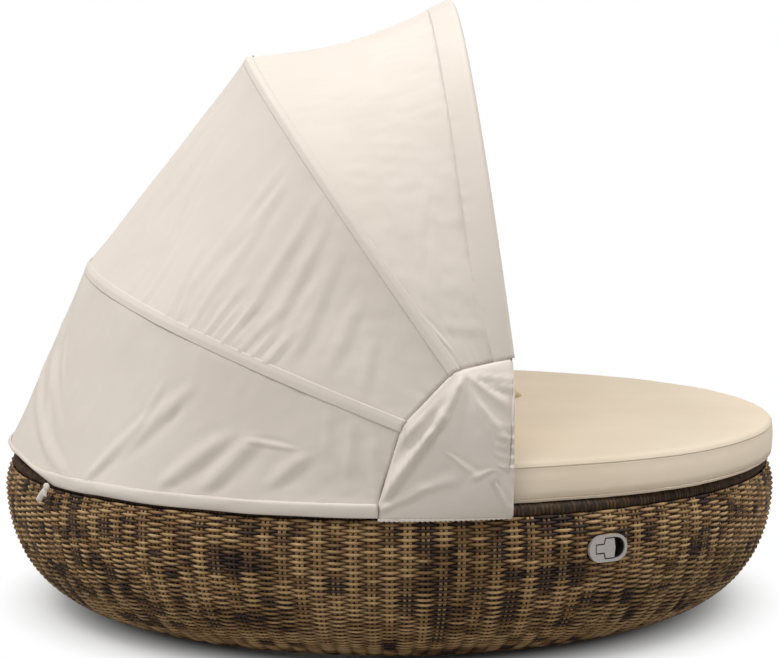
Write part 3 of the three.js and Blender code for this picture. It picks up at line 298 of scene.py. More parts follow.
def write_values(mesh: bpy.types.Mesh, name: str, values: np.ndarray) -> None:
    """Writes an attribute with a number, or a row of three, for each point."""
    kind, entry = ("FLOAT", "value") if values.ndim == 1 else ("FLOAT_VECTOR", "vector")
    layer = mesh.attributes.new(name, kind, "POINT")
    layer.data.foreach_set(entry, values.astype(np.float32).ravel())


def metric_uv(mesh: bpy.types.Mesh, values: np.ndarray) -> None:
    """Writes a UV map in metres from one row of u and v for each point."""
    corner = np.zeros(len(mesh.loops), dtype=np.int64)
    mesh.loops.foreach_get("vertex_index", corner)
    layer = mesh.uv_layers.get("Cut") or mesh.uv_layers.new(name="Cut")
    layer.data.foreach_set("uv", values[corner].astype(np.float32).ravel())


def rows(*columns: object) -> np.ndarray:
    """Puts columns side by side, where a single number fills its column."""
    return np.stack(np.broadcast_arrays(*columns), axis=1).astype(float)


def unit(vectors: np.ndarray) -> np.ndarray:
    """Gives rows of length one."""
    return vectors / np.linalg.norm(vectors, axis=1, keepdims=True)


def smooth(value: np.ndarray) -> np.ndarray:
    """Eases a value from 0 to 1, and holds it at either beyond them."""
    held = np.clip(value, 0, 1)
    return held**2 * (3 - 2 * held)


def fractal(points: np.ndarray, scale: float, seed: float) -> np.ndarray:
    """Samples smooth noise from -1 to 1 at each point.

    Args:
        points: Rows of x, y and z in metres.
        scale: The size of a lump in metres.
        seed: Moves the pattern.

    Returns:
        One value for each point.
    """
    place = points / scale + np.array([seed * 1.31, seed * 2.17, seed * 3.07])
    cell = np.floor(place).astype(np.int64)
    part = place - cell
    ease = part**3 * (part * (part * 6 - 15) + 10)
    total = np.zeros(len(points))
    for corner in itertools.product((0, 1), repeat=3):
        code = np.bitwise_xor.reduce((cell + corner) * (73856093, 19349663, 83492791), axis=1)
        code = ((code ^ (code >> 13)) * 1274126177) & 0x7FFFFFFF
        value = ((code ^ (code >> 15)) & 0xFFFF) / 32767.5 - 1
        total += value * np.prod(np.abs(1 - np.array(corner) - ease), axis=1)
    return total


@dataclass(frozen=True)
class WovenStrand:
    """Extruded polyethylene strand, half round, with a dry satin skin and a two-tone bark colour.

    The tan strand has stretches of purple-brown a hand long.
    """

    name: str = "Polyethylene strand, extruded"
    light: str = "#cba877"
    middle: str = "#8c6a41"
    dark: str = "#3f2d26"
    painted_shade: str = "#5f564f"
    stretch: float = 150.0
    streak: float = 14.0
    roughness: float = 0.6

    def material(self) -> bpy.types.Material:
        """Builds the finish, which reads the strand's own attributes: run for its tone, and stand for its
        painted shade.
        """
        material, tree, shader = new_material(
            self.name, Roughness=self.roughness, IOR=1.5, Specular_IOR_Level=0.35
        )
        run = add_node(tree, "Attribute", out="Vector", settings={"attribute_name": "run"})
        patches = lumps(tree, run, self.stretch, 2.0)
        stops = ((0.37, self.dark), (0.46, self.middle), (0.58, self.light), (0.72, self.middle))
        tone = add_node(tree, "ValToRGB", patches, stops=stops)
        streaks = lumps(tree, run, self.streak, 3.0)
        shade = mix(tree, 0.35, tone, streaks, "SOFT_LIGHT")
        # Painted shade: the colour is darkened towards the painted shade colour where the strand dives behind
        # a rod and along its lower edge, and kept lighter along its upper edge, standing in for the deep
        # shade between the rods.
        stand = add_node(tree, "Attribute", out="Fac", settings={"attribute_name": "stand"})
        depth = mix(tree, stand, linear(self.painted_shade), WHITE)
        cover(shader, mix(tree, 1.0, shade, depth, "MULTIPLY"), streaks, 0.25, 0.4)
        return material


@dataclass(frozen=True)
class WovenCloth:
    """Plain-woven fabric with a soft matt face; its threads catch a little light at a low angle."""

    name: str
    light: str
    dark: str
    thread: float
    patch: float
    roughness: float
    sheen: float
    bump: float
    wave: float = 0.314  # The wave node's scale for one thread in a metre.

    def material(self) -> bpy.types.Material:
        """Builds the finish, which reads the cloth's own UV map in metres."""
        material, tree, shader = new_material(
            self.name,
            Roughness=self.roughness,
            Sheen_Weight=self.sheen,
            Sheen_Roughness=0.5,
            IOR=1.45,
            Specular_IOR_Level=0.25,
        )
        cut = add_node(tree, "TexCoord", out="UV")
        wave = {"Vector": cut, "Scale": self.wave / (self.thread * MM), "Distortion": 0.4, "out": "Fac"}
        warp, weft = (add_node(tree, "TexWave", settings={"bands_direction": axis}, **wave) for axis in "XY")
        weave = calculate(tree, "MAXIMUM", warp, weft)
        cloud = lumps(tree, cut.node.outputs["Object"], self.patch, 4.0)
        tone = add_node(tree, "ValToRGB", cloud, stops=((0.3, self.dark), (0.7, self.light)))
        cover(shader, mix(tree, 0.12, tone, weave, "SOFT_LIGHT"), weave, self.bump, 0.3)
        return material


@dataclass(frozen=True)
class SolidFinish:
    """A hard finish on metal, plastic or wood, with a fine grain in its colour, gloss and surface."""

    name: str
    light: str
    dark: str
    grain: float
    roughness: float
    metallic: float = 0.0
    depth: float = 0.05
    stretch: tuple[float, float, float] = (1.0, 1.0, 1.0)
    spread: float = 0.08

    def material(self) -> bpy.types.Material:
        """Builds the finish on Object coordinates."""
        material, tree, shader = new_material(self.name, Metallic=self.metallic)
        place = add_node(tree, "TexCoord", out="Object")
        grain = lumps(tree, add_node(tree, "Mapping", place, Scale=self.stretch), self.grain, 4.0)
        tone = add_node(tree, "ValToRGB", grain, stops=((0.3, self.dark), (0.7, self.light)))
        least, most = self.roughness - self.spread, self.roughness + self.spread
        set_input(shader, "Roughness", add_node(tree, "MapRange", grain, To_Min=least, To_Max=most))
        cover(shader, tone, grain, 0.5, self.depth)
        return material


@dataclass(frozen=True)
class LedgeWeave:
    """The same polyethylene strand woven flat, in rings about the bowl's centre."""

    name: str = "Polyethylene strand, woven flat"
    light: str = "#8e6f4c"
    dark: str = "#2b1c17"
    row: float = 6.6
    stakes: int = 160
    depth: float = 3.0

    def material(self) -> bpy.types.Material:
        """Builds the finish from the radius and the azimuth in Object coordinates."""
        material, tree, shader = new_material(self.name, Roughness=0.55, IOR=1.5)
        x = add_node(tree, "SeparateXYZ", add_node(tree, "TexCoord", out="Object"))
        y = x.node.outputs["Y"]
        flat = add_node(tree, "CombineXYZ", x, y)
        radius = add_node(tree, "VectorMath", flat, out="Value", settings={"operation": "LENGTH"})
        ring = calculate(tree, "DIVIDE", radius, self.row * MM)
        ridge = calculate(tree, "COSINE", calculate(tree, "MULTIPLY", ring, 2 * math.pi))
        turn = calculate(tree, "MULTIPLY", calculate(tree, "ARCTAN2", y, x), self.stakes / 2)
        phase = calculate(tree, "MULTIPLY_ADD", calculate(tree, "FLOOR", ring), math.pi, turn)
        height = calculate(tree, "ADD", ridge, calculate(tree, "COSINE", phase))
        level = add_node(tree, "MapRange", height, -2.0, 2.0)
        # Painted shade: the colour runs from dark in the weave's low places to light on its high ones, for
        # the shade between the strands.
        tone = add_node(tree, "ValToRGB", level, stops=((0.2, self.dark), (0.7, self.light)))
        cover(shader, tone, level, 0.8, self.depth)
        return material


class Finish(Enum):
    """The daybed's finishes, one for each real material."""

    STRAND = WovenStrand()
    # The border is wound with the same strand, its colours darkened as painted shade for the mattress's
    # shadow over it, so it reads as a deep brown line.
    BORDER = WovenStrand("Polyethylene strand, wound", "#5f4426", "#3c2916", "#1e130d", stretch=60.0)
    LEDGE = LedgeWeave()
    # Solution-dyed polyester canvas: off-white and matt. Its 0.5 mm threads are drawn at 1.6 mm to show.
    CANVAS = WovenCloth("Polyester canvas, woven", "#e9dfd4", "#dfd4c8", 1.6, 420.0, 0.85, 0.12, 0.25)
    # Acrylic outdoor fabric: warm cream with a soft face. Its 0.7 mm threads are drawn at 2 mm to show.
    ACRYLIC = WovenCloth("Acrylic fabric, woven", "#fcebd3", "#f5e3c9", 2.0, 380.0, 0.88, 0.15, 0.25)
    # The pillows' cotton cover is the yellower cream of the corner beside the hood.
    COTTON = WovenCloth("Cotton cover, woven", "#efdcae", "#e6cf9d", 2.0, 160.0, 0.9, 0.15, 0.3)
    # Powder coat on aluminium: an even bronze-brown with a fine orange-peel surface.
    POWDER_COAT = SolidFinish("Aluminium, powder coated", "#4b3b30", "#43342b", 3.0, 0.48, 0.0, 0.06)
    # Anodised aluminium tube: a soft grey metal with a satin drawn surface.
    ANODISED = SolidFinish("Aluminium tube, anodised", "#a9a8a4", "#9b9a96", 2.0, 0.36, 1.0, 0.02)
    # Acacia slats: a mid brown with long darker grain and an oiled low gloss.
    ACACIA = SolidFinish("Acacia, oiled", "#9a7048", "#77522f", 9.0, 0.5, 0.0, 0.1, (1.0, 0.08, 1.0))
    # Bright zinc plate on steel: a cool pale metal with faint clouding.
    ZINC = SolidFinish("Steel, zinc plated", "#b9bbbd", "#a6a8ab", 6.0, 0.32, 1.0, 0.02)
    # Black paint on the strut's steel tube: near black with a clear gloss.
    STRUT_PAINT = SolidFinish("Steel, black enamel", "#1b1b1c", "#151516", 5.0, 0.3, 0.0, 0.02)
    # Moulded nylon: near black with a spark-eroded grain that keeps it matt.
    NYLON = SolidFinish("Nylon, moulded", "#2a2523", "#211d1b", 1.5, 0.55, 0.0, 0.05)
    # Painted ABS: a light silver-grey with a fine metallic grain.
    SILVER_ABS = SolidFinish("ABS, silver paint", "#cdc8c4", "#b9b2ad", 1.6, 0.42, 0.25, 0.05)

    def __init__(self, recipe: object) -> None:
        """Keeps the recipe and no material yet."""
        self.recipe = recipe
        self.made: bpy.types.Material | None = None

    def material(self) -> bpy.types.Material:
        """Gives the finish's material, which is built once."""
        if self.made is None:
            self.made = self.recipe.material()
        return self.made


@dataclass(frozen=True)
class Lamp:
    """A square soft lamp: its place and side in millimetres and its power in watts."""

    name: str
    place: tuple[float, float, float]
    size: float
    power: float


@dataclass
class Studio:
    """The camera at the photograph's place, a plain pale floor and soft lamps."""

    distance: float = 5000.0
    height: float = 1137.0
    aim_height: float = 690.0
    lens: float = 87.3
    sensor: float = 36.0
    floor_radius: float = 9000.0
    floor_colour: str = "#b6b4b1"
    shadow_radius: float = 1060.0
    shadow_core: float = 0.7
    sky: float = 0.36
    lamps: tuple[Lamp, ...] = (
        Lamp("left_lamp", (-4800.0, -1100.0, 7400.0), 2600.0, 316.0),
        Lamp("right_lamp", (4200.0, -800.0, 7200.0), 2900.0, 256.0),
        Lamp("front_lamp", (-1400.0, -5600.0, 6900.0), 2700.0, 138.0),
    )

    def build(self) -> None:
        """Makes the camera, the floor, the lamps and the sky."""
        scene = bpy.context.scene
        scene.view_settings.view_transform = "Standard"
        view = bpy.data.cameras.new("camera")
        view.lens = self.lens
        view.sensor_width = self.sensor
        scene.camera = self.hang(view, (0, -self.distance, self.height))
        self.make_floor()
        for lamp in self.lamps:
            light = bpy.data.lights.new(lamp.name, "AREA")
            light.size = lamp.size * MM
            light.energy = lamp.power
            self.hang(light, lamp.place)
        self.make_sky()

    def hang(self, data: bpy.types.ID, place: tuple[float, float, float]) -> bpy.types.Object:
        """Puts a camera or a lamp at a place in millimetres and points it at the daybed."""
        item = bpy.data.objects.new(data.name, data)
        item.location = Vector(place) * MM
        aim = Vector((0, 0, self.aim_height)) * MM
        item.rotation_euler = (aim - item.location).to_track_quat("-Z", "Y").to_euler()
        bpy.context.scene.collection.objects.link(item)
        return item

    def make_floor(self) -> None:
        """Lays the floor, which shows the camera white away from the daybed and keeps its shadow near it."""
        bm = bmesh.new()
        bmesh.ops.create_circle(bm, cap_ends=True, segments=96, radius=self.floor_radius * MM)
        material, tree, shader = new_material(
            "Studio floor, matt paint", Roughness=0.9, Base_Color=linear(self.floor_colour)
        )
        place = add_node(tree, "TexCoord", out="Object")
        reach = add_node(tree, "VectorMath", place, out="Value", settings={"operation": "LENGTH"})
        edge = self.shadow_radius * MM
        ease = {"interpolation_type": "SMOOTHSTEP"}
        away = add_node(tree, "MapRange", reach, self.shadow_core * edge, edge, 0.0, 1.0, settings=ease)
        seen = calculate(tree, "MULTIPLY", away, add_node(tree, "LightPath", out="Is Camera Ray"))
        white = add_node(tree, "Emission", WHITE, 1.0)
        mixed = add_node(tree, "MixShader", seen, shader.outputs["BSDF"], white)
        set_input(tree.nodes["Material Output"], "Surface", mixed)
        floor = object_from(bm, "floor", material)

    def make_sky(self) -> None:
        """Sets a pale even sky that shows white to the camera."""
        world = bpy.data.worlds.new("sky")
        world.use_nodes = True
        bpy.context.scene.world = world
        tree = world.node_tree
        lit = add_node(tree, "Background", WHITE, self.sky)
        white = add_node(tree, "Background", WHITE, 1.0)
        seen = add_node(tree, "LightPath", out="Is Camera Ray")
        set_input(tree.nodes["World Output"], "Surface", add_node(tree, "MixShader", seen, lit, white))


@dataclass
class Wall:
    """The bowl's outer wall as a radius for each height."""

    bulge_radius: float = 1003.0
    bulge_height: float = 310.0
    foot_radius: float = 655.0
    floor_gap: float = 6.0
    fullness: float = 2.9
    top_radius: float = 976.0
    rim_height: float = 390.0
    fine_steps: int = 4000

    def radius(self, height: float) -> float:
        """Gives the outer radius at a height, both in millimetres."""
        if height >= self.bulge_height:
            share = (height - self.bulge_height) / (self.rim_height - self.bulge_height)
            return self.bulge_radius - (self.bulge_radius - self.top_radius) * share**2
        share = (height - self.floor_gap) / (self.bulge_height - self.floor_gap)
        turn = math.acos(max(0.0, min(1.0, 1 - share)))
        reach = math.sin(turn) ** (2 / self.fullness)
        return self.foot_radius + (self.bulge_radius - self.foot_radius) * reach

    def points(self, low: float, high: float, pitch: float) -> np.ndarray:
        """Walks up the wall in equal steps.

        Args:
            low: The first height.
            high: The last height.
            pitch: The length of a step along the wall.

        Returns:
            Rows of radius and height.
        """
        heights = low + (high - low) * np.linspace(0, 1, self.fine_steps + 1) ** 2
        radii = np.array([self.radius(height) for height in heights])
        length = np.concatenate([[0], np.cumsum(np.hypot(np.diff(radii), np.diff(heights)))])
        stations = np.linspace(0, length[-1], max(2, round(length[-1] / pitch)) + 1)
        return rows(np.interp(stations, length, radii), np.interp(stations, length, heights))


@dataclass
class Handle:
    """The release handle's place in the near wall, and the opening that it fills."""

    azimuth: float = -61.2
    height: float = 282.0
    cup_width: float = 90.0
    cup_height: float = 49.0
    clear: float = 3.0
    bezel_width: float = 102.0
    bezel_height: float = 61.0

    def local(self, points: np.ndarray, radius: float) -> np.ndarray:
        """Turns points in metres into millimetres along and up the wall from the handle's middle.

        Args:
            points: Rows of x, y and z.
            radius: The wall's radius at the handle.

        Returns:
            Rows of the way along the wall and up it.
        """
        azimuth = np.degrees(np.arctan2(points[:, 1], points[:, 0]))
        return rows(np.radians(azimuth - self.azimuth) * radius, points[:, 2] / MM - self.height)

    def distance(self, local: np.ndarray, width: float, height: float) -> np.ndarray:
        """Gives each row's distance to a stadium outline round the handle's middle, negative inside it."""
        half = height / 2
        return np.hypot(np.maximum(np.abs(local[:, 0]) - (width / 2 - half), 0), local[:, 1]) - half


@dataclass
class WovenBowl:
    """The bowl's wall: flat strand woven over pairs of upright rods, and its wound border."""

    wall: Wall = field(default_factory=Wall)
    handle: Handle = field(default_factory=Handle)
    stakes: int = 160
    rod_width: float = 8.0
    rod_depth: float = 4.0
    rod_gap: float = 2.6
    rod_least: float = 0.62
    rod_step: float = 16.0
    row_pitch: float = 6.6
    strand_height: float = 6.6
    strand_depth: float = 5.2
    swing: float = 3.9
    calm_gap: float = 2.0
    calm_reach: float = 22.0
    calm_share: float = 0.25
    lens: float = 0.12
    inset: float = 3.6
    wander: float = 0.9
    sway: float = 3.0
    loose_height: float = 230.0
    loose_reach: float = 200.0
    steps_per_stake: int = 4
    sectors: int = 40
    low: float = 12.0
    high: float = 362.0
    bands: int = 3
    rim_radius: float = 968.0
    rim_height: float = 372.0
    wrap_radius: float = 18.0
    wrap_skin: float = 3.0
    wrap_groove: float = 2.6
    wrap_start: float = -80.0
    wrap_end: float = 168.0
    wrap_points: int = 12
    windings: int = 640

    def build(self) -> None:
        """Makes the strands, the rods and the border."""
        levels = self.wall.points(self.low, self.high, self.row_pitch)
        size = math.ceil(len(levels) / self.bands)
        bands = [(k * size, min(len(levels), (k + 1) * size)) for k in range(self.bands)]
        pieces = [self.strands(levels, *band, k) for k, band in enumerate(bands)]
        pieces.append(self.rods())
        for piece in pieces:
            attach(piece, "base")
        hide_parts("wicker_bowl")
        border = self.border()
        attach(border, "base")
        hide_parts("rim_wrap")

    def station(self, path: np.ndarray, k: int) -> tuple[Vector, Vector, Vector]:
        """Gives a step's middle inside the wall, the direction up the wall and the one out of it."""
        run = path[min(k + 1, len(path) - 1)] - path[max(k - 1, 0)]
        up = Vector((run[0], 0, run[1])).normalized()
        out = Vector((up.z, 0, -up.x))
        return Vector((path[k][0], 0, path[k][1])) - out * self.inset, up, out

    def strands(self, levels: np.ndarray, first: int, last: int, band: int) -> bpy.types.Object:
        """Weaves the rows from first to last, all spun round the bowl at once.

        Args:
            levels: The radius and height of every row.
            first: The first row of this band.
            last: The row after its last.
            band: The band's number, for its name.

        Returns:
            The band of strands.
        """
        bm = bmesh.new()
        row_layer = bm.verts.layers.float.new("row")
        edge_layer = bm.verts.layers.float.new("edge")
        edges = []
        for k in range(first, last):
            middle, up, out = self.station(levels, k)
            deep, tall = out * self.strand_depth / 2, up * self.strand_height / 2
            ring, sides = closed_section(bm, [middle + deep, middle + tall, middle - deep, middle - tall])
            for vert, edge in zip(ring, (0.0, 1.0, 0.0, -1.0)):
                vert[row_layer] = k
                vert[edge_layer] = edge
            edges += sides
        spin_round(bm, edges, self.stakes * self.steps_per_stake, self.sectors)
        piece = object_from(bm, f"woven_strands_{band + 1}", Finish.STRAND.material())
        self.weave(piece.data, levels)
        return piece

    def weave(self, mesh: bpy.types.Mesh, levels: np.ndarray) -> None:
        """Swings each row in front of and behind the rods, lets it wander, and opens it for the handle.

        Args:
            mesh: The spun rows, which carry their row's number on each point.
            levels: The radius and height of every row.
        """
        points = coordinates(mesh)
        row = np.rint(read_values(mesh, "row"))
        edge = read_values(mesh, "edge")
        azimuth = np.arctan2(points[:, 1], points[:, 0])
        circle = rows(np.cos(azimuth), np.sin(azimuth))
        level = levels[row.astype(int), 1]
        slope = np.gradient(levels[:, 0], levels[:, 1])[row.astype(int)]
        steep = 1 / np.hypot(1, slope)
        local = self.handle.local(points, self.wall.radius(self.handle.height))
        away = self.handle.distance(local, self.handle.bezel_width, self.handle.bezel_height)
        near = np.clip((away - self.calm_gap) / self.calm_reach, 0, 1)
        over = np.cos(self.stakes / 2 * azimuth + math.pi * row)
        swing = self.swing * over * (self.calm_share + (1 - self.calm_share) * near)
        # The strand's lens shape swells where it passes in front of a rod.
        swell = edge * self.lens * (over + 0.15) * self.strand_height / 2
        # Low on the wall the rows lie less evenly: each wanders by itself, and neighbours sway together.
        loose = np.clip((self.loose_height - level) / self.loose_reach, 0, 1)
        drift = self.wander * (0.5 + 1.6 * loose) * fractal(rows(*circle.T, row * 0.37), 0.06, 3.0)
        common = self.sway * loose * fractal(rows(*circle.T, level * MM * 2), 0.16, 9.0)
        out = (swing + 0.5 * drift) * MM
        points[:, :2] += circle * (out * steep)[:, None]
        points[:, 2] += (drift + common + swell) * steep * MM - out * slope * steep * 0.5
        set_coordinates(mesh, points)
        write_values(mesh, "run", rows(*circle.T, row % 2 * 0.5 + row * 0.021))
        # Painted shade: stand falls where the row dives behind a rod and along its lower edge, and rises
        # where it passes in front of a rod and along its upper edge.
        write_values(mesh, "stand", np.clip(0.45 + 0.65 * over + 0.25 * edge, 0, 1))
        self.open_for_handle(mesh, local)

    def open_for_handle(self, mesh: bpy.types.Mesh, local: np.ndarray) -> None:
        """Takes out what lies in the handle's opening on the near side and closes the cut ends.

        Args:
            mesh: The mesh to open.
            local: Its points along and up the wall from the handle's middle.
        """
        away = self.handle.distance(local, self.handle.cup_width, self.handle.cup_height)
        inside = np.flatnonzero(away < self.handle.clear)
        if not len(inside):
            return
        with editing(mesh) as bm:
            bm.verts.ensure_lookup_table()
            bmesh.ops.delete(bm, geom=[bm.verts[i] for i in inside], context="VERTS")
            bmesh.ops.holes_fill(bm, edges=open_edges(bm), sides=8)

    def rods(self) -> bpy.types.Object:
        """Stands a pair of flattened rods up the wall and repeats it round the bowl."""
        path = self.wall.points(self.low - 2, self.high + 2, self.rod_step)
        bm = bmesh.new()
        for side in (-1, 1):
            across = side * (self.rod_width + self.rod_gap) / 2
            ring = bmesh.ops.create_circle(bm, segments=6, radius=0.5)["verts"]
            frames = []
            for k, (radius, _) in enumerate(path):
                middle, up, out = self.station(path, k)
                middle.y = across * radius / self.wall.bulge_radius
                width = self.rod_width * max(self.rod_least, radius / self.wall.bulge_radius)
                axes = (out * self.rod_depth * MM, Vector((0, width * MM, 0)), up)
                frames.append(Matrix.Translation(middle * MM) @ Matrix(axes).transposed().to_4x4())
            bmesh.ops.transform(bm, matrix=frames[0], verts=ring)
            edges = list({edge for vert in ring for edge in vert.link_edges})
            for before, after in zip(frames, frames[1:]):
                grown = bmesh.ops.extrude_edge_only(bm, edges=edges)["geom"]
                ring = [item for item in grown if isinstance(item, bmesh.types.BMVert)]
                lines = (item for item in grown if isinstance(item, bmesh.types.BMEdge))
                edges = [edge for edge in lines if all(vert in ring for vert in edge.verts)]
                bmesh.ops.transform(bm, matrix=after @ before.inverted(), verts=ring)
        bmesh.ops.holes_fill(bm, edges=open_edges(bm), sides=8)
        bmesh.ops.recalc_face_normals(bm, faces=bm.faces)
        repeat_round(bm, self.stakes)
        piece = object_from(bm, "woven_stakes", Finish.STRAND.material(), recalc=False)
        points = coordinates(piece.data)
        column = np.rint(np.arctan2(points[:, 1], points[:, 0]) * self.stakes / (2 * math.pi))
        write_values(piece.data, "run", rows(column * 0.37, column * 0.11, points[:, 2]))
        # Painted shade: every rod takes a fixed share of the strand's painted shade colour all over.
        write_values(piece.data, "stand", np.full(len(points), 0.7))
        self.open_for_handle(piece.data, self.handle.local(points, self.wall.radius(self.handle.height)))
        return piece

    def border(self) -> bpy.types.Object:
        """Winds the border: a ring whose section bulges with every turn of the strand."""
        bm = bmesh.new()
        angles = np.radians(np.linspace(self.wrap_start, self.wrap_end, self.wrap_points + 1))
        outline = [(self.wrap_radius, a) for a in angles]
        outline += [(self.wrap_radius - self.wrap_skin, a) for a in angles[::-1]]
        middle = Vector((self.rim_radius, 0, self.rim_height))
        ring = [middle + Vector((radius * math.cos(a), 0, radius * math.sin(a))) for radius, a in outline]
        spin_round(bm, closed_section(bm, ring)[1], 4 * self.windings, 64)
        piece = object_from(bm, "wound_border", Finish.BORDER.material())
        points = coordinates(piece.data)
        azimuth = np.arctan2(points[:, 1], points[:, 0])
        reach = np.hypot(points[:, 0], points[:, 1]) - self.rim_radius * MM
        rise = points[:, 2] - self.rim_height * MM
        size, lean = np.hypot(reach, rise), np.arctan2(rise, reach)
        wave = np.abs(np.sin(self.windings / 2 * azimuth + 0.35 * lean)) ** 0.7
        outer = size > (self.wrap_radius - self.wrap_skin / 2) * MM
        size = np.where(outer, size - self.wrap_groove * MM * (1 - wave), size)
        radius = self.rim_radius * MM + size * np.cos(lean)
        height = self.rim_height * MM + size * np.sin(lean)
        set_coordinates(piece.data, rows(np.cos(azimuth) * radius, np.sin(azimuth) * radius, height))
        turns = np.floor(self.windings / 2 * azimuth / math.pi)
        write_values(piece.data, "run", rows(turns * 0.11, lean * 0.02, 0.0))
        # Painted shade: stand falls in the grooves between the windings and rises on their crowns.
        write_values(piece.data, "stand", wave)
        return piece


@dataclass
class MattressHalf:
    """One half of the round mattress: foam in a fitted cover with a seam round its top and its bottom."""

    name: str
    body: str
    node: str
    radius: float
    cut_x: float
    half_width: float | None
    centre_x: float
    bottom: float = 390.3
    thickness: float = 92.0
    crown: float = 9.0
    corner: float = 32.0
    edge: float = 15.0
    low_edge: float = 8.0
    side_bulge: float = 3.5
    seam_depth: float = 2.2
    seam_width: float = 3.0
    arc_steps: int = 420
    corner_steps: int = 14
    cut_steps: int = 60
    side_steps: int = 30
    seed: float = 1.0
    overhang: float = 0.0
    overhang_end: float = 70.0
    overhang_ease: float = 28.0

    def outline(self) -> list[Vector]:
        """Draws the half's plan as closely spaced points in millimetres, anticlockwise."""
        points = []
        if self.half_width is None:
            x, reach = self.cut_x + self.corner, self.radius - self.corner
            y = math.sqrt(reach**2 - x**2)
            turn = math.atan2(y, x)
            points += self.arc(0, 0, self.radius, -turn, turn, self.arc_steps)
            points += self.arc(x, y, self.corner, turn, math.pi, self.corner_steps)[1:]
            points += self.line(points[-1], Vector((self.cut_x, -y, 0)), self.cut_steps)
            points += self.arc(x, -y, self.corner, math.pi, 2 * math.pi - turn, self.corner_steps)[1:-1]
            return points
        turn = math.asin(self.half_width / self.radius)
        inner = self.cut_x - self.corner
        side = self.half_width - self.corner
        points += self.arc(0, 0, self.radius, math.pi - turn, math.pi + turn, self.arc_steps // 2)
        points += self.line(points[-1], Vector((inner, -self.half_width, 0)), self.side_steps)
        points += self.arc(inner, -side, self.corner, -math.pi / 2, 0, self.corner_steps)[1:]
        points += self.line(points[-1], Vector((self.cut_x, side, 0)), self.cut_steps)
        points += self.arc(inner, side, self.corner, 0, math.pi / 2, self.corner_steps)[1:]
        points += self.line(points[-1], points[0], self.side_steps)[:-1]
        return points

    def arc(self, x: float, y: float, radius: float, start: float, end: float, steps: int) -> list[Vector]:
        """Gives the points of an arc, with both of its ends."""
        turns = [start + (end - start) * i / steps for i in range(steps + 1)]
        return [Vector((x + radius * math.cos(t), y + radius * math.sin(t), 0)) for t in turns]

    def line(self, start: Vector, end: Vector, steps: int) -> list[Vector]:
        """Gives the points of a line after its start, with its end."""
        return [start.lerp(end, (i + 1) / steps) for i in range(steps)]

    def profile(self) -> list[tuple[float, float, float]]:
        """Lists the rings from the underside's middle up the side to the top's middle.

        Returns:
            For each ring, how far it lies inside the outline, its share of the way from the middle,
            and its height.
        """
        edge, lower, low, high = self.edge, self.low_edge, self.bottom, self.bottom + self.thickness
        rings = [(edge, share, low) for share in (0.25, 0.6, 0.85, 0.95)]
        turns = [math.radians(-90 + 90 * i / 6) for i in range(7)]
        rings += [(lower - lower * math.cos(t), 1.0, low + lower + lower * math.sin(t)) for t in turns]
        rings += self.seam(low + lower + 1.0)
        top = high - edge
        spread = [low + 26, low + 38, (low + high) / 2, top - 14]
        rings += [(-self.side_bulge * math.sin(math.pi * (z - low) / (high - low)), 1.0, z) for z in spread]
        rings += self.seam(top + 1.0)
        turns = [math.radians(15 + 75 * i / 7) for i in range(8)]
        rings += [(edge - edge * math.cos(t), 1.0, top + edge * math.sin(t)) for t in turns]
        for share in (0.985, 0.96, 0.92, 0.86, 0.78, 0.68, 0.56, 0.44, 0.32, 0.2, 0.1):
            rings.append((edge, share, high + self.crown * math.sin(math.pi / 2 * (1 - share) ** 0.62)))
        return rings

    def seam(self, height: float) -> list[tuple[float, float, float]]:
        """Gives the rings, as in profile(), of a seam at a height: a narrow valley between two soft lips."""
        half, lip = self.seam_width / 2, -0.9
        places = ((-0.5, -2 * half), (lip, -half), (self.seam_depth, 0.0), (lip, half))
        return [(inset, 1.0, height + step) for inset, step in places]

    def build(self) -> None:
        """Makes the half, ring by ring, and puts light puckers along its seams."""
        outline, rings = self.outline(), self.profile()
        along = [(outline[(i + 1) % len(outline)] - outline[i - 1]).normalized() for i in range(len(outline))]
        inward = [Vector((-way.y, way.x, 0)) for way in along]
        bm = bmesh.new()
        layer = bm.verts.layers.int.new("step")
        verts = [bm.verts.new(self.at(p, n, rings[0])) for p, n in zip(outline, inward)]
        for i, vert in enumerate(verts):
            vert[layer] = i
        face = bm.faces.new(verts)
        for ring in rings[1:]:
            face = bmesh.ops.extrude_discrete_faces(bm, faces=[face])["faces"][0]
            for vert in face.verts:
                vert.co = self.at(outline[vert[layer]], inward[vert[layer]], ring)
        bmesh.ops.poke(bm, faces=[f for f in bm.faces if len(f.verts) > 4])
        bmesh.ops.remove_doubles(bm, verts=bm.verts, dist=1e-6)
        piece = object_from(bm, self.name, Finish.ACRYLIC.material())
        self.spread(piece.data)
        self.pucker(piece.data)
        self.map_cover(piece.data)
        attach(piece, self.body)
        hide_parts(self.node)

    def at(self, point: Vector, inward: Vector, ring: tuple[float, float, float]) -> Vector:
        """Places a point of the outline on a ring, in metres."""
        inset, share, height = ring
        moved = point + inward * inset
        x = self.centre_x + (moved.x - self.centre_x) * share
        return Vector((x, moved.y * share, height)) * MM

    def spread(self, mesh: bpy.types.Mesh) -> None:
        """Lets the foam's front stand out over the rim, easing off before the hood's brackets."""
        points = coordinates(mesh)
        reach = np.hypot(points[:, 0], points[:, 1])
        away = np.degrees(np.abs(np.arctan2(points[:, 1], points[:, 0])))
        ease = smooth((self.overhang_end - away) / self.overhang_ease)
        edge = smooth((reach / (self.radius * MM) - 0.6) / 0.35)
        points[:, :2] *= (1 + self.overhang * MM * ease * edge / np.maximum(reach, 1e-6))[:, None]
        set_coordinates(mesh, points)

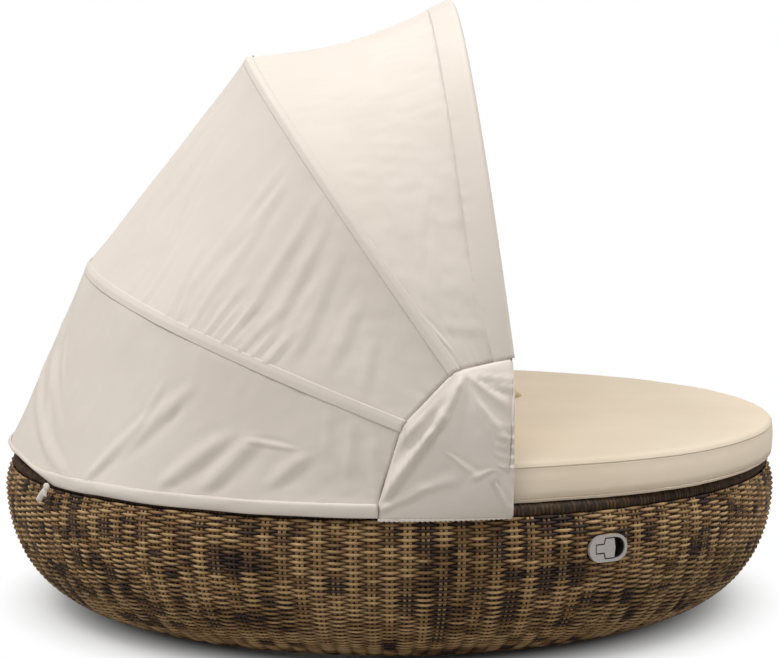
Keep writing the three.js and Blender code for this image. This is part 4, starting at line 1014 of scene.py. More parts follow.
    def pucker(self, mesh: bpy.types.Mesh) -> None:
        """Pushes the cover in and out a little, most along the seams and over the top."""
        points = coordinates(mesh)
        height = points[:, 2] / MM
        seams = (self.bottom + self.low_edge + 1, self.bottom + self.thickness - self.edge + 1)
        near = sum(np.exp(-(((height - seam) / 13) ** 2)) for seam in seams)
        around = np.arctan2(points[:, 1], points[:, 0])
        ripple = fractal(rows(around, height * 0.0012, 0.0), 0.035, self.seed)
        broad = fractal(points, 0.22, self.seed + 4)
        flat = np.clip((height - self.bottom - 3) / 10, 0, 1)
        lift = 0.8 * near * ripple + 1.3 * broad * flat
        set_coordinates(mesh, points + coordinates(mesh, "normal") * (lift * MM)[:, None])

    def map_cover(self, mesh: bpy.types.Mesh) -> None:
        """Maps the top and bottom in plan and the side round the edge, in metres."""
        points = coordinates(mesh)
        side = np.abs(points[:, 2] / MM - self.bottom - self.thickness / 2) < self.thickness / 2 - self.edge
        around = np.arctan2(points[:, 1], points[:, 0]) * self.radius * MM
        metric_uv(mesh, np.where(side[:, None], rows(around, points[:, 2]), points[:, :2]))


@dataclass
class Pillow:
    """A scatter pillow: a square cover blown up by its filling."""

    name: str
    node: str
    x: float
    y: float
    z: float
    heading: float
    tilt: float = 0.0
    size: float = 400.0
    thickness: float = 120.0
    draw: float = 0.07
    fullness: float = 0.42
    cells: int = 48
    voxel: float = 8.0
    slack: float = 0.93
    pressure: float = 4.0
    tension: float = 12.0
    bending: float = 0.3
    frames: int = 20
    cap: float = 9.0

    def build(self) -> None:
        """Makes the pillow, fills it by simulation and sets it on the mattress."""
        piece = self.cover()
        self.inflate(piece)
        turns = ((self.heading, "Z"), (self.tilt, "Y"), (45.0, "Z"))
        place = Matrix.Translation(Vector((self.x, self.y, self.z)) * MM)
        for angle, axis in turns:
            place = place @ Matrix.Rotation(math.radians(angle), 4, axis)
        piece.data.transform(place)
        metric_uv(piece.data, coordinates(piece.data)[:, :2])
        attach(piece, "backrest")
        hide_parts(self.node)

    def cover(self) -> bpy.types.Object:
        """Shapes the closed cover before it is filled, lying flat at the origin."""
        bm = bmesh.new()
        for side in (1, -1):
            grid = bmesh.ops.create_grid(bm, x_segments=self.cells, y_segments=self.cells, size=1.0)["verts"]
            for vert in grid:
                u, v = (math.sin(math.pi / 2 * value) for value in vert.co.xy)
                x = u * (1 - self.draw * (1 - v**2) * u**2)
                y = v * (1 - self.draw * (1 - u**2) * v**2)
                rise = max(0.0, (1 - u**2) * (1 - v**2)) ** self.fullness
                vert.co = Vector((self.size * x, self.size * y, side * self.thickness * rise)) / 2 * MM
        bmesh.ops.remove_doubles(bm, verts=bm.verts, dist=WELD)
        return object_from(bm, self.name, Finish.COTTON.material())

    def inflate(self, piece: bpy.types.Object) -> None:
        """Fills the cover by a cloth simulation under pressure and keeps its result in the mesh."""
        scene = bpy.context.scene
        bpy.context.view_layer.objects.active = piece
        remesh = piece.modifiers.new("even", "REMESH")
        remesh.mode = "VOXEL"
        remesh.voxel_size = self.voxel * MM
        self.apply(piece)
        rest = coordinates(piece.data)
        rest[:, 2] *= self.slack
        set_coordinates(piece.data, rest)
        rest = coordinates(piece.data)
        cloth = piece.modifiers.new("fill", "CLOTH")
        cloth.settings.use_pressure = True
        cloth.settings.uniform_pressure_force = self.pressure
        cloth.settings.effector_weights.gravity = 0.0
        cloth.settings.tension_stiffness = self.tension
        cloth.settings.bending_stiffness = self.bending
        cloth.point_cache.frame_start = 1
        cloth.point_cache.frame_end = self.frames
        for frame in range(1, self.frames + 1):
            scene.frame_set(frame)
        self.apply(piece)
        scene.frame_set(1)
        moved = coordinates(piece.data) - rest
        length = np.linalg.norm(moved, axis=1, keepdims=True)
        set_coordinates(piece.data, rest + moved * np.minimum(1, self.cap * MM / np.maximum(length, 1e-9)))
        with editing(piece.data) as bm:
            bmesh.ops.subdivide_edges(bm, edges=bm.edges, cuts=1, use_grid_fill=True)
            axes = {f"use_axis_{axis}": True for axis in "xyz"}
            bmesh.ops.smooth_vert(bm, verts=bm.verts, factor=0.5, **axes)
            for face in bm.faces:
                face.smooth = True

    def apply(self, piece: bpy.types.Object) -> None:
        """Puts what the modifiers give into the mesh and takes them off."""
        graph = bpy.context.evaluated_depsgraph_get()
        made = bpy.data.meshes.new_from_object(piece.evaluated_get(graph))
        finish = piece.data.materials[0]
        piece.modifiers.clear()
        piece.data = made
        if not made.materials:
            made.materials.append(finish)


@dataclass(frozen=True)
class Bow:
    """A bow's centre line: a flattened half oval that cranks away from its bolt."""

    name: str
    half_width: float
    reach: float
    angle: float
    foot: float
    fullness: float = 2.4
    crank: float = 35.0
    crank_length: float = 240.0
    pivot_x: float = 255.0
    pivot_z: float = 470.0

    def frame(self, local: np.ndarray) -> np.ndarray:
        """Turns directions from the bow's own plane into the daybed's frame."""
        c, s = math.cos(math.radians(self.angle)), math.sin(math.radians(self.angle))
        return rows(local[:, 0] * c + local[:, 2] * s, local[:, 1], -local[:, 0] * s + local[:, 2] * c)

    def turns(self, share: np.ndarray) -> np.ndarray:
        """Gives the oval's angle for each share of the way from the right foot to the left."""
        start = math.asin((self.foot / self.reach) ** (self.fullness / 2))
        return math.pi - start - (math.pi - 2 * start) * share

    def centre(self, share: np.ndarray) -> np.ndarray:
        """Gives the tube's middle at each share, in millimetres."""
        turn = self.turns(share)
        along = self.reach * np.sin(turn) ** (2 / self.fullness)
        y = self.half_width * np.sign(np.cos(turn)) * np.abs(np.cos(turn)) ** (2 / self.fullness)
        crank = self.crank * smooth(along / self.crank_length)
        a = math.radians(self.angle)
        local = rows(-(along - crank * math.cos(a)), y, crank * math.sin(a))
        return self.frame(local) + np.array([self.pivot_x, 0, self.pivot_z])

    def outward(self, share: np.ndarray) -> np.ndarray:
        """Gives the direction away from the hood's inside at each share."""
        turn = self.turns(share)
        power = 2 * (self.fullness - 1) / self.fullness
        across = np.sign(np.cos(turn)) * np.abs(np.cos(turn)) ** power / self.half_width
        return self.frame(unit(rows(-(np.sin(turn) ** power) / self.reach, across, 0.0)))

    def over(self, share: np.ndarray, lift: float) -> np.ndarray:
        """Gives the points a lift outside the tube's middle."""
        return self.centre(share) + self.outward(share) * lift


@dataclass(frozen=True)
class Fold:
    """A soft ridge in the cloth between two places, given as shares of the panel's run and drop."""

    start: tuple[float, float]
    end: tuple[float, float]
    width: float
    height: float
    fade: float = 0.35
    valley: float = 0.5
    rise: float = 0.35

    def mirrored(self) -> "Fold":
        """Gives its like on the other side of the hood, which lies a little apart and is a little lower."""
        shift = 0.013 * math.sin(40 * self.start[0])
        start, end = ((1 - u + shift, v) for u, v in (self.start, self.end))
        return Fold(start, end, self.width * 1.1, self.height * 0.85, self.fade)

    def lift(self, place: np.ndarray, size: np.ndarray) -> np.ndarray:
        """Gives the ridge's height at each place.

        Args:
            place: Rows of places in millimetres along the run and the drop.
            size: The panel's run and drop in millimetres.

        Returns:
            Heights in millimetres.
        """
        start = np.array(self.start) * size
        line = np.array(self.end) * size - start
        length = np.linalg.norm(line)
        line = line / length
        share = (place - start) @ line / length
        away = (place - start) @ np.array([-line[1], line[0]])
        ends = smooth(np.clip(share / self.rise, 0, 1) * np.clip((1 - share) / self.fade, 0, 1))
        x = away / (self.width * (0.75 + 0.5 * np.sin(math.pi * np.clip(share, 0, 1))))
        sides = np.exp(-((x - 1.5) ** 2) / 0.8) + 0.4 * np.exp(-((x + 1.6) ** 2) / 0.8)
        return self.height * ends * (np.exp(-(x**2)) - self.valley * sides)


def folds(*places: tuple) -> tuple[Fold, ...]:
    """Makes the near side's folds, and after them their likes on the far side."""
    near = tuple(Fold(*place) for place in places)
    return near + tuple(fold.mirrored() for fold in near)


# The near side's folds, placed by the photograph: where each starts and ends as shares, its width and height,
# and, where it runs into a seam, the short share over which it fades.
FRONT_FOLDS = folds(
    ((0.193, 0.18), (0.004, 1.02), 12.0, 1.4),
    ((0.096, 0.49), (0.030, 0.88), 18.0, 1.6),
    ((0.059, 1.02), (0.006, 0.80), 9.0, 2.6),
    ((0.020, 0.10), (0.034, 0.95), 11.0, 1.6),
    ((0.300, 0.20), (0.210, 0.85), 34.0, 1.6),
)
MIDDLE_FOLDS = folds(
    ((0.346, 0.06), (0.341, 0.96), 16.0, 4.2),
    ((0.372, 0.04), (0.376, 0.90), 22.0, 4.0),
    ((0.405, 0.10), (0.418, 0.98), 18.0, 4.5),
    ((0.445, 0.05), (0.452, 0.95), 20.0, 4.5),
    ((0.480, 0.12), (0.470, 0.90), 16.0, 4.0),
    ((0.336, 0.14), (0.260, 0.92), 13.0, 4.5),
    ((0.223, 0.00), (0.217, 0.90), 15.0, 3.6),
    ((0.208, 0.13), (0.211, 0.70), 12.0, 2.8),
    ((0.214, 0.00), (0.185, 0.93), 14.0, 3.4),
    ((0.170, 0.00), (0.146, 0.94), 15.0, 4.0),
    ((0.149, 0.01), (0.120, 0.94), 13.0, 4.2),
    ((0.124, 0.09), (0.088, 1.00), 17.0, 4.6),
    ((0.124, 0.21), (0.106, 0.97), 10.0, 2.6),
    ((0.086, 0.15), (0.062, 0.95), 15.0, 3.6),
    ((0.060, 0.30), (0.030, 0.95), 13.0, 3.4),
    ((0.247, 0.54), (0.211, 1.03), 10.0, 4.6, 0.12),
    ((0.232, 0.64), (0.198, 1.03), 8.0, 3.8, 0.12),
    ((0.200, 0.58), (0.185, 1.03), 9.0, 4.6, 0.12),
    ((0.187, 0.70), (0.177, 1.03), 6.5, 3.2, 0.12),
    ((0.173, 0.60), (0.169, 1.03), 8.5, 4.4, 0.12),
    ((0.162, 0.68), (0.160, 1.03), 6.5, 3.4, 0.12),
    ((0.150, 0.62), (0.151, 1.03), 8.0, 4.2, 0.12),
    ((0.140, 0.72), (0.143, 1.03), 6.5, 3.0, 0.12),
    ((0.131, 0.60), (0.134, 1.03), 8.5, 4.2, 0.12),
    ((0.118, 0.66), (0.122, 1.03), 7.0, 3.4, 0.12),
    ((0.106, 0.58), (0.109, 1.03), 9.0, 4.0, 0.12),
    ((0.290, 0.74), (0.276, 1.03), 8.0, 3.0, 0.12),
    ((0.268, 0.66), (0.250, 1.03), 9.0, 3.4, 0.12),
)
REAR_FOLDS = folds(
    ((0.450, 0.10), (0.310, 0.97), 20.0, 5.0),
    ((0.476, 0.22), (0.291, 0.81), 14.0, 3.4),
    ((0.480, 0.47), (0.260, 1.02), 15.0, 5.0, 0.2),
    ((0.395, 0.28), (0.323, 0.62), 8.0, 3.0),
    ((0.196, 0.50), (0.250, 1.03), 13.0, 6.0, 0.2),
    ((0.193, 0.26), (0.212, 0.73), 9.0, 3.6),
    ((0.160, 0.23), (0.226, 0.90), 17.0, 6.0),
    ((0.174, 0.40), (0.185, 0.58), 8.0, 2.6),
    ((0.114, 0.47), (0.172, 0.99), 20.0, 6.5, 0.2),
    ((0.096, 0.44), (0.133, 0.99), 20.0, 6.5, 0.2),
    ((0.054, 0.50), (0.085, 0.93), 17.0, 5.0),
    ((0.111, 0.55), (0.064, 0.53), 9.0, 3.0),
    ((0.019, 0.10), (0.000, 1.02), 10.0, 4.0, 0.2),
    ((0.034, 0.04), (0.024, 0.85), 9.0, 3.6),
    ((0.052, 0.04), (0.044, 0.60), 9.0, 3.0),
)
# The gusset's folds in the same way: where each starts and ends in millimetres along X and Z, its width
# and its height.
GUSSET_FOLDS = (
    ((157.0, 675.0), (105.0, 574.0), 14.0, 15.0),
    ((112.0, 588.0), (-27.0, 405.0), 15.0, 18.0),
    ((145.0, 663.0), (4.0, 515.0), 8.0, 7.0),
    ((-30.0, 384.0), (80.0, 441.0), 12.0, 9.0),
    ((60.0, 434.0), (150.0, 462.0), 16.0, 5.0),
    ((168.0, 676.0), (256.0, 612.0), 11.0, 6.0),
    ((190.0, 624.0), (256.0, 532.0), 13.0, 6.0),
    ((124.0, 514.0), (188.0, 462.0), 7.0, 5.0),
    ((222.0, 480.0), (176.0, 458.0), 7.0, 4.5),
    ((226.0, 576.0), (276.0, 568.0), 8.0, 3.2),
    ((228.0, 550.0), (276.0, 543.0), 8.0, 3.2),
    ((226.0, 530.0), (276.0, 523.0), 8.0, 3.4),
    ((226.0, 509.0), (276.0, 500.0), 8.0, 3.4),
    ((234.0, 485.0), (276.0, 482.0), 7.0, 4.0),
    ((222.0, 456.0), (264.0, 372.0), 9.0, 6.0),
    ((170.0, 676.0), (276.0, 668.0), 7.0, 5.0),
    ((200.0, 662.0), (276.0, 650.0), 8.0, 5.0),
)


@dataclass
class Hood:
    """The hood's cloth: three panels over three bows, a gusset on each side, sleeves, a hem and its ties."""

    lift: float = 11.0
    thickness: float = 1.6
    band_thickness: float = 0.9
    hem_thickness: float = 1.0
    front: Bow = Bow("front", 961.0, 1075.0, 82.4, 243.0)
    middle: Bow = Bow("middle", 978.0, 1128.0, 54.9, 262.0)
    rear: Bow = Bow("rear", 995.0, 1132.0, 20.9, 280.0)
    panel_size: tuple[float, float] = (3150.0, 560.0)
    rear_size: tuple[float, float] = (3200.0, 480.0)
    front_sag: float = 27.0
    middle_sag: float = 4.0
    least_sag: float = 3.5
    hem_run: float = 3.3
    hem_drop: float = 0.04
    hem_radius: float = 1003.0
    hem_rear_x: float = -25.0
    hem_height: float = 368.0
    skirt_height: float = 400.0
    skirt_drop: float = 34.0
    skirt_start: float = 0.93
    skirt_least: float = 8.0
    sleeve: float = 15.0
    front_sleeve: float = 56.0
    front_run: float = 3.0
    front_drop: float = 0.11
    front_wrap: float = 0.45
    gusset_front_x: float = 267.0
    gusset_lead: float = 8.0
    gusset_shoulder: float = 170.0
    gusset_stand: float = 3.2
    hub_y: float = 1006.9
    hub_z: float = 470.0
    hub_half: float = 10.0
    edging_radius: float = 3.4
    edging_twist: float = 11.0
    tie_azimuth: float = 143.0
    tie_ease: float = 14.0
    back_inset: float = 12.0
    hem_rise: float = 6.0
    back_rise: float = 37.0

    def build(self) -> None:
        """Makes every piece of cloth, and hangs each sleeve on the bow that it holds."""
        self.panel(self.front, self.middle, self.front_sag, FRONT_FOLDS, 1.0)
        self.panel(self.middle, self.rear, self.middle_sag, MIDDLE_FOLDS, 5.0)
        self.rear_panel()
        self.seam_sleeve(self.middle, self.front, self.rear)
        self.seam_sleeve(self.rear, self.middle, None)
        self.front_edge()
        for name, side in SIDES.items():
            self.gusset(side, name)
            self.hem_edging(side, name)
            self.tie(side, name)
        self.hem_band()

    def grid(self, name: str, across: int, down: int) -> tuple[bpy.types.Object, np.ndarray, np.ndarray]:
        """Lays out a flat cloth with a share of its run and of its drop at each point.

        Args:
            name: The piece's name.
            across: Steps along the run.
            down: Steps along the drop.

        Returns:
            The object and the two shares.
        """
        bm = bmesh.new()
        bmesh.ops.create_grid(bm, x_segments=across, y_segments=down, size=1.0)
        piece = object_from(bm, name, Finish.CANVAS.material(), recalc=False)
        flat = coordinates(piece.data)
        return piece, (flat[:, 0] + 1) / 2, (flat[:, 1] + 1) / 2

    def finish_sheet(
        self,
        piece: bpy.types.Object,
        points: np.ndarray,
        outward: np.ndarray,
        uv: np.ndarray,
        thickness: float,
        node: str | None = None,
    ) -> None:
        """Puts a cloth in its place, with its map and its thickness.

        Args:
            piece: The flat cloth.
            points: Its points in millimetres.
            outward: The direction of its outer face at each point.
            uv: Its map in metres.
            thickness: Its thickness in millimetres.
            node: The solid that it stands for.
        """
        set_coordinates(piece.data, points * MM)
        if float(np.sum(coordinates(piece.data, "normal") * outward)) < 0:
            piece.data.flip_normals()
        metric_uv(piece.data, uv)
        area = float(sum(polygon.area for polygon in piece.data.polygons))
        wall = piece.modifiers.new("thickness", "SOLIDIFY")
        wall.thickness = thickness * MM
        wall.offset = -1.0
        run, drop = float(np.ptp(uv[:, 0])), float(np.ptp(uv[:, 1]))
        drop = max(drop, area / run)
        if node:
            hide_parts(node)

    def belly(self, share: np.ndarray, across: np.ndarray, sag: float) -> np.ndarray:
        """Gives how far a panel hangs in, in millimetres, at shares of its run and its drop."""
        return 4 * across * (1 - across) * (sag * np.sin(math.pi * share) + self.least_sag)

    def ridges(
        self, lines: tuple[Fold, ...], share: np.ndarray, drop: np.ndarray, size: tuple[float, float]
    ) -> np.ndarray:
        """Adds up the heights of a panel's folds.

        Args:
            lines: The folds.
            share: Shares of the run.
            drop: Shares of the drop.
            size: The run and the drop in millimetres.

        Returns:
            Heights in millimetres.
        """
        place = rows(share, drop) * size
        return sum((fold.lift(place, np.array(size)) for fold in lines), np.zeros(len(share)))

    def slack(
        self, share: np.ndarray, drop: np.ndarray, seed: float, size: tuple[float, float]
    ) -> np.ndarray:
        """Gives the cloth's broad unevenness and the fine puckers along its seams, in millimetres."""
        place = rows(share * size[0] * MM, drop * size[1] * MM, seed)
        broad = 2.6 * fractal(place, 0.19, seed)
        fine = 0.9 * fractal(place * (2.2, 1.0, 1.0), 0.06, seed + 3)
        near = np.exp(-((drop / 0.07) ** 2)) + np.exp(-(((1 - drop) / 0.07) ** 2))
        pucker = 0.8 * near * fractal(place * (1.0, 0.25, 1.0), 0.016, seed + 7)
        seam = np.minimum(drop, 1 - drop)
        return (broad + fine) * np.minimum(1, seam / 0.08) + pucker * np.minimum(1, seam / 0.012)

    def panel(self, upper: Bow, lower: Bow, sag: float, lines: tuple[Fold, ...], seed: float) -> None:
        """Stretches a panel between two bows, whose upper one gives it its name.

        Args:
            upper: The bow at its start.
            lower: The bow at its end.
            sag: How far its middle hangs in.
            lines: Its folds.
            seed: Moves its creases.
        """
        piece, share, drop = self.grid(f"{upper.name}_canopy", 300, 60)
        a, b = upper.over(share, self.lift), lower.over(share, self.lift)
        down = drop[:, None]
        outward = unit(upper.outward(share) * (1 - down) + lower.outward(share) * down)
        run, span = self.panel_size
        # The folds ease off under the sleeves at the panel's two seams.
        hold = smooth((np.minimum(drop, 1 - drop) * span - 7.0) / 16.0)
        lift = self.ridges(lines, share, drop, self.panel_size) * hold
        lift += self.slack(share, drop, seed, self.panel_size) - self.belly(share, drop, sag)
        points = a * (1 - down) + b * down + outward * lift[:, None]
        uv = rows(share * run, drop * span) * MM
        self.finish_sheet(piece, points, outward, uv, self.thickness, f"{upper.name}_panel")
        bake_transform(piece)

    def rim(self, share: np.ndarray, height: np.ndarray | float) -> tuple[np.ndarray, np.ndarray]:
        """Gives the hem's points round the back of the rim, and their outward directions."""
        start = math.acos(self.hem_rear_x / self.hem_radius)
        azimuth = -start - (2 * math.pi - 2 * start) * share
        outward = rows(np.cos(azimuth), np.sin(azimuth), 0.0)
        inset = self.back_inset * smooth(np.minimum(share, 1 - share) / 0.15)
        points = outward * (self.hem_radius - inset)[:, None]
        points[:, 2] = height
        return points, outward

    def rise(self, share: np.ndarray) -> np.ndarray:
        """Gives how far the hem is drawn up in millimetres: a little all along, more behind its ties."""
        start = math.degrees(math.acos(self.hem_rear_x / self.hem_radius))
        azimuth = start + (360 - 2 * start) * share
        ease = np.clip((180 - self.tie_azimuth - np.abs(azimuth - 180)) / self.tie_ease, 0, 1)
        return self.hem_rise + self.back_rise * ease * (1.4 - 0.4 * ease)

    def brow(self, share: np.ndarray) -> np.ndarray:
        """Gives the height at which the rear panel turns down into its skirt, in millimetres."""
        return np.maximum(self.skirt_height, self.hem_height + self.rise(share) + self.skirt_least)

    def rear_panel(self) -> None:
        """Hangs the rear panel from the rear bow to the rim, and its skirt down over the rim."""
        piece, share, drop = self.grid("rear_canopy", 320, 70)
        across = np.minimum(drop / self.skirt_start, 1)
        down = across[:, None]
        b, rim_out = self.rim(share, self.brow(share))
        outward = unit(self.rear.outward(share) * (1 - down) + rim_out * down)
        lift = self.ridges(REAR_FOLDS, share, across, self.rear_size)
        lift += self.slack(share, across, 11.0, self.rear_size) - self.belly(share, across, 0.0)
        points = self.rear.over(share, self.lift) * (1 - down) + b * down + outward * lift[:, None]
        skirt = np.maximum(0, (drop - self.skirt_start) / (1 - self.skirt_start))
        points[:, 2] -= (self.brow(share) - self.hem_height - self.rise(share)) * skirt
        run, span = self.rear_size
        uv = rows(share * run, drop * (span + self.skirt_drop)) * MM
        self.finish_sheet(piece, points, outward, uv, self.thickness, "rear_panel")
        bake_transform(piece)

    def seam_sleeve(self, bow: Bow, above: Bow, below: Bow | None) -> None:
        """Sews the sleeve that holds a bow: a flat band astride the seam.

        Args:
            bow: The bow that it holds.
            above: The bow at the far side of the panel above.
            below: The bow at the far side of the panel below, or None where that panel ends on the rim.
        """
        piece, share, across = self.grid(f"{bow.name}_sleeve", 420, 10)
        side = across * 2 - 1
        middle, outward = bow.over(share, self.lift), bow.outward(share)
        far = below.over(share, self.lift) if below else self.rim(share, self.brow(share))[0]
        way = np.where((side > 0)[:, None], unit(above.over(share, self.lift) - middle), unit(far - middle))
        run = self.panel_size[0] * MM
        ripple = fractal(rows(share * run, side * 0.02, 0.0), 0.02, 21.0)
        lift = 0.8 + 0.7 * (1 - side**2) + 0.7 * ripple * side**2
        points = middle + way * (np.abs(side) * self.sleeve)[:, None] + outward * lift[:, None]
        uv = rows(share * run, side * self.sleeve * MM)
        self.finish_sheet(piece, points, outward, uv, self.band_thickness)
        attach(piece, f"{bow.name}_hoop")

    def front_edge(self) -> None:
        """Sews the front edge: the cloth turns round the front bow and is stitched down behind it."""
        piece, share, across = self.grid("front_sleeve", 420, 26)
        outward = self.front.outward(share)
        plane = self.front.frame(rows(np.zeros(len(share)), 0.0, 1.0))
        turn = np.radians(175 * (1 - np.minimum(across / self.front_wrap, 1)))
        direction = outward * np.cos(turn)[:, None] + plane * np.sin(turn)[:, None]
        back = self.middle.over(share, self.lift) - self.front.over(share, self.lift)
        length = np.linalg.norm(back, axis=1)
        flat = np.maximum(0, (across - self.front_wrap) / (1 - self.front_wrap))
        reach = np.minimum(flat * self.front_sleeve, 0.28 * length)
        ripple = fractal(rows(share * self.front_run, flat * 0.03, 0.0), 0.022, 31.0)
        lift = 1.6 * ripple * flat**3 + 1.2 * np.sin(math.pi * flat)
        lift -= self.belly(share, reach / length, self.front_sag)
        points = self.front.centre(share) + direction * (self.lift + 1.5)
        points += unit(back) * reach[:, None] + outward * lift[:, None]
        uv = rows(share * self.front_run, across * self.front_drop)
        self.finish_sheet(piece, points, direction, uv, self.band_thickness)
        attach(piece, "front_hoop")

    def gusset_rim(self, side: int) -> np.ndarray:
        """Walks round a gusset's edge from the hem's front corner, in closely spaced points in millimetres.

        Args:
            side: 1 for the left gusset and -1 for the right one.
        """
        foot = np.array([0.0 if side < 0 else 1.0])
        front, hub = self.gusset_front_x, side * self.hub_y
        places = np.linspace(front, self.hem_rear_x, 13)
        hem = [(x, side * math.sqrt(self.hem_radius**2 - x**2)) for x in places]
        corners = [np.array([x, y, self.hem_height]) for x, y in hem]
        corners.append(np.array([*hem[-1], self.skirt_height]))
        corners += [bow.over(foot, self.lift)[0] for bow in (self.rear, self.middle, self.front)]
        corners.append(corners[-1] + np.array([self.gusset_lead, 0, -self.gusset_lead]))
        corners.append(np.array([front, hub - 3 * side, self.hub_z + self.gusset_shoulder]))
        corners += [np.array([front, hub, self.hub_z + step]) for step in (self.hub_half, -self.hub_half)]
        rim = []
        for corner, beyond in zip(corners, corners[1:] + corners[:1]):
            steps = max(1, round(float(np.linalg.norm(beyond - corner)) / 5))
            rim += [corner + (beyond - corner) * i / steps for i in range(steps)]
        return np.array(rim)

    def gusset(self, side: int, name: str) -> None:
        """Fans the side gusset out from the pivot to the bows' feet and the hem.

        Args:
            side: 1 for the left gusset and -1 for the right one.
            name: The side's name.
        """
        rim = self.gusset_rim(side)
        count = len(rim)
        piece, around, share = self.grid(f"gusset_cloth_{name}", count, 34)
        edge = rim[np.rint(around * count).astype(int) % count]
        hub = np.array([self.front.pivot_x, side * self.hub_y, self.hub_z])
        points = hub + (edge - hub) * share[:, None]
        points[:, 1] = hub[1] + (edge[:, 1] - hub[1]) * share**3
        points[:, 1] += side * self.gusset_ridges(points, share)
        outward = np.array([[0.0, float(side), 0.0]])
        uv = points[:, [0, 2]] * MM
        self.finish_sheet(piece, points, outward, uv, self.thickness, f"gusset_{name}")
        with editing(piece.data) as bm:
            bmesh.ops.remove_doubles(bm, verts=bm.verts, dist=WELD)
        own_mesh(piece)
        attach(piece, "base")

    def gusset_ridges(self, points: np.ndarray, share: np.ndarray) -> np.ndarray:
        """Gives how far the gusset's folds stand out, in millimetres.

        Args:
            points: The gusset's points.
            share: Their shares of the way from the pivot to the edge.

        Returns:
            One height for each point.
        """
        lift = np.zeros(len(points))
        for start, end, width, height in GUSSET_FOLDS:
            line = np.array(end) - start
            length = float(np.linalg.norm(line))
            line = line / length
            plan = points[:, [0, 2]] - start
            along = np.clip((plan @ line) / length, -0.2, 1.2)
            ends = np.clip(along / 0.2 + 0.3, 0, 1) * np.clip((1.1 - along) / 0.3, 0, 1)
            x = plan @ np.array([-line[1], line[0]]) / (width * (0.45 + 0.75 * np.clip(along, 0, 1)))
            lift += height * ends * (np.exp(-(x**2)) - 0.35 * np.exp(-((np.abs(x) - 1.5) ** 2) / 0.7))
        lift += 1.2 * fractal(points * MM, 0.03, 41.0)
        # The bolt and the bows' legs lie close under the cloth, so its hollows are shallow and it stands
        # off them.
        lift = np.where(lift < 0, 2.0 * np.expm1(np.minimum(lift, 0) / 2.0), lift) + self.gusset_stand
        return lift * np.minimum(1, (1 - share) / 0.06) * np.minimum(1, share / 0.04)

    def hem_band(self) -> None:
        """Sews the hem's doubled band, which rolls softly over the rim."""
        piece, share, down = self.grid("hem_band", 420, 14)
        top, low = self.brow(share) + 4, self.hem_height + self.rise(share) - 1.5
        points, outward = self.rim(share, 0.0)
        height = top + (low - top) * down
        wave = fractal(rows(*points[:, :2].T * MM, down * 0.03), 0.11, 51.0)
        fine = fractal(rows(*points[:, :2].T * MM, down * 0.02), 0.035, 53.0)
        arch = np.maximum(np.sin(math.pi * down), 0)
        bulge = 1.2 + 4.6 * arch**0.6 + (1.6 * wave + 1.1 * fine) * arch
        lean = np.clip((height - top + 4) / 4, 0, 1)
        points += outward * (bulge - 2.2 * lean)[:, None]
        points[:, 2] = height + 1.5 * wave
        uv = rows(share * self.hem_run, down * self.hem_drop)
        self.finish_sheet(piece, points, outward, uv, self.hem_thickness, None)
        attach(piece, "base")

    def hem_edging(self, side: int, name: str) -> None:
        """Runs the twisted edging along a gusset's lower edge.

        Args:
            side: 1 for the left gusset and -1 for the right one.
            name: The side's name.
        """
        piece, along, around = self.grid(f"gusset_edging_{name}", 240, 10)
        front = self.gusset_front_x - 3
        x = front + (self.hem_rear_x - front) * along
        y = side * np.sqrt(self.hem_radius**2 - x**2)
        turn = 2 * math.pi * around
        radius = self.edging_radius * (1 + 0.22 * np.cos(2 * turn + 2 * math.pi * (x / self.edging_twist)))
        out = rows(x, y, 0.0) / self.hem_radius
        direction = out * np.cos(turn)[:, None] + rows(0.0, 0.0, np.sin(turn))
        points = rows(x, y, self.hem_height) + direction * radius[:, None] + out * 1.5
        set_coordinates(piece.data, points * MM)
        with editing(piece.data) as bm:
            bmesh.ops.remove_doubles(bm, verts=bm.verts, dist=WELD)
            bmesh.ops.holes_fill(bm, edges=open_edges(bm), sides=24)
            bmesh.ops.recalc_face_normals(bm, faces=bm.faces)
        metric_uv(piece.data, coordinates(piece.data)[:, [0, 2]])
        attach(piece, "base")

    def tie(self, side: int, name: str) -> None:
        """Ties the hem's tape in a small knot with two short tails.

        Args:
            side: 1 for the left tie and -1 for the right one.
            name: The side's name.
        """
        azimuth = math.radians(side * self.tie_azimuth)
        out = Vector((math.cos(azimuth), math.sin(azimuth), 0))
        along = Vector((-out.y, out.x, 0))
        down = Vector((0, 0, -1))
        base = out * (self.hem_radius + 7) - down * (self.hem_height + self.hem_rise - 2)
        bm = bmesh.new()
        for vert in bmesh.ops.create_icosphere(bm, subdivisions=3, radius=1.0)["verts"]:
            spot = vert.co.copy()
            crease = 1 + 0.16 * noise.noise(spot * 3.1)
            vert.co = (base + (along * spot.x * 12 + out * spot.y * 5.5 - down * spot.z * 9) * crease) * MM
        # Each tail: how far it leans for its length, its length and half its width.
        for lean, length, half in ((-0.85, 44.0, 10.0), (-0.2, 27.0, 7.0)):
            shape = ((-half, -1), (0, -1.6), (half, -1), (half, 0.6), (0, 0), (-half, 0.6))
            face = bm.faces.new([bm.verts.new(Vector((x, y, 0))) for x, y in shape])
            for k in range(9):
                share = k / 8
                twist = -0.4 * math.sin(3 * share)
                middle = base + (along * lean + down * 0.9) * (length * share)
                middle += out * (2 + 3 * math.sin(3 * share) * share)
                wide = along * math.cos(twist) + out * math.sin(twist)
                deep = out * math.cos(twist) - along * math.sin(twist)
                if k:
                    face = bmesh.ops.extrude_discrete_faces(bm, faces=[face])["faces"][0]
                for vert, (x, y) in zip(face.verts, shape):
                    vert.co = (middle + wide * x * (0.75 + 0.35 * share) + deep * y) * MM
        piece = object_from(bm, f"hem_tape_{name}", Finish.CANVAS.material())
        metric_uv(piece.data, coordinates(piece.data)[:, [0, 2]])
        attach(piece, "base")
        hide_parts(f"hem_tie_{name}")


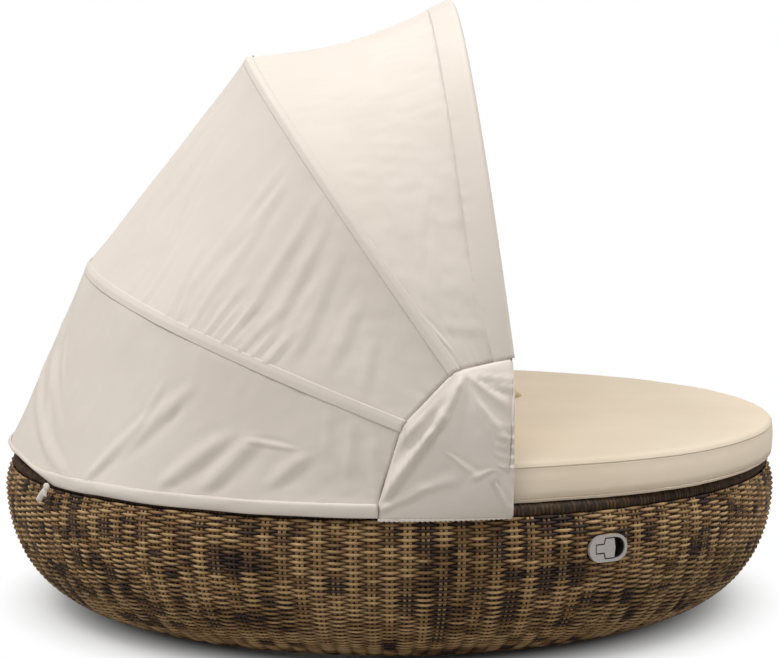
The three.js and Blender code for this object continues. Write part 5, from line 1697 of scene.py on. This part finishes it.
def paired(*names: str) -> list[str]:
    """Names the left and the right one of each."""
    return [f"{name}_{side}" for name in names for side in SIDES]


def numbered(name: str, count: int) -> list[str]:
    """Names a row of equal nodes, from 1."""
    return [f"{name}_{k + 1}" for k in range(count)]


def finish_carried(nodes: dict[str, bpy.types.Object]) -> None:
    """Gives the frame's own nodes that stay as they are their finish.

    Args:
        nodes: The frame's nodes by name.
    """
    beams = ["hinge_beam", "front_beam", "lower_beam"]
    strut = ["strut_foot_bracket", "strut_head_bracket", "strut_foot_pin", "strut_rod"]
    fixings = paired("hinge_plate", "hinge_bolt", "hood_bracket", "pivot_bolt")
    carried = {
        Finish.LEDGE: ["rear_ledge"],
        Finish.POWDER_COAT: ["top_ring", "foot_ring", *numbered("rib", 6), *beams],
        Finish.NYLON: [*numbered("glide", 6), *paired("inner_spacer", "outer_spacer"), "handle_cup"],
        Finish.ACACIA: ["seat_deck", "back_panel"],
        Finish.ZINC: [*fixings, *strut, "paddle_pin", "paddle_spring"],
        Finish.STRUT_PAINT: ["strut_cylinder"],
        Finish.ANODISED: ["front_bow", "middle_bow", "rear_bow"],
        Finish.SILVER_ABS: ["handle_bezel", "release_paddle"],
    }
    for finish, names in carried.items():
        for name in names:
            slots = nodes[name].data.materials
            slots.clear()
            slots.append(finish.material())
        LOG.info("%s: %d nodes", finish.name, len(names))


def main() -> None:
    """Loads the frame and builds every sub-assembly in order."""
    logging.basicConfig(level=logging.INFO, format="%(name)s: %(message)s")
    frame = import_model()
    Studio().build()
    WovenBowl().build()
    seat = MattressHalf("seat_mattress", "base", "seat_cushion", 975.0, 208.0, None, 591.5, overhang=24.0)
    back = MattressHalf("back_mattress", "backrest", "back_cushion", 774.0, 202.0, 739.0, -286.0, seed=6.0)
    seat.build()
    back.build()
    # The lower pillow lies on the back's crown, and the upper one leans on it.
    tilt, half = 14.0, Pillow.thickness / 2
    low = back.bottom + back.thickness + back.crown * 0.66 + half
    high = low + half * (1 + 1 / math.cos(math.radians(tilt))) + 0.3
    Pillow("lower_pillow", "flat_pillow", -20.0, -600.0, low, -35.0).build()
    Pillow("upper_pillow", "front_pillow", 66.0, -642.0, high, -25.0, tilt).build()
    Hood().build()
    finish_carried(frame["nodes"])


if __name__ == "__main__":
    main()
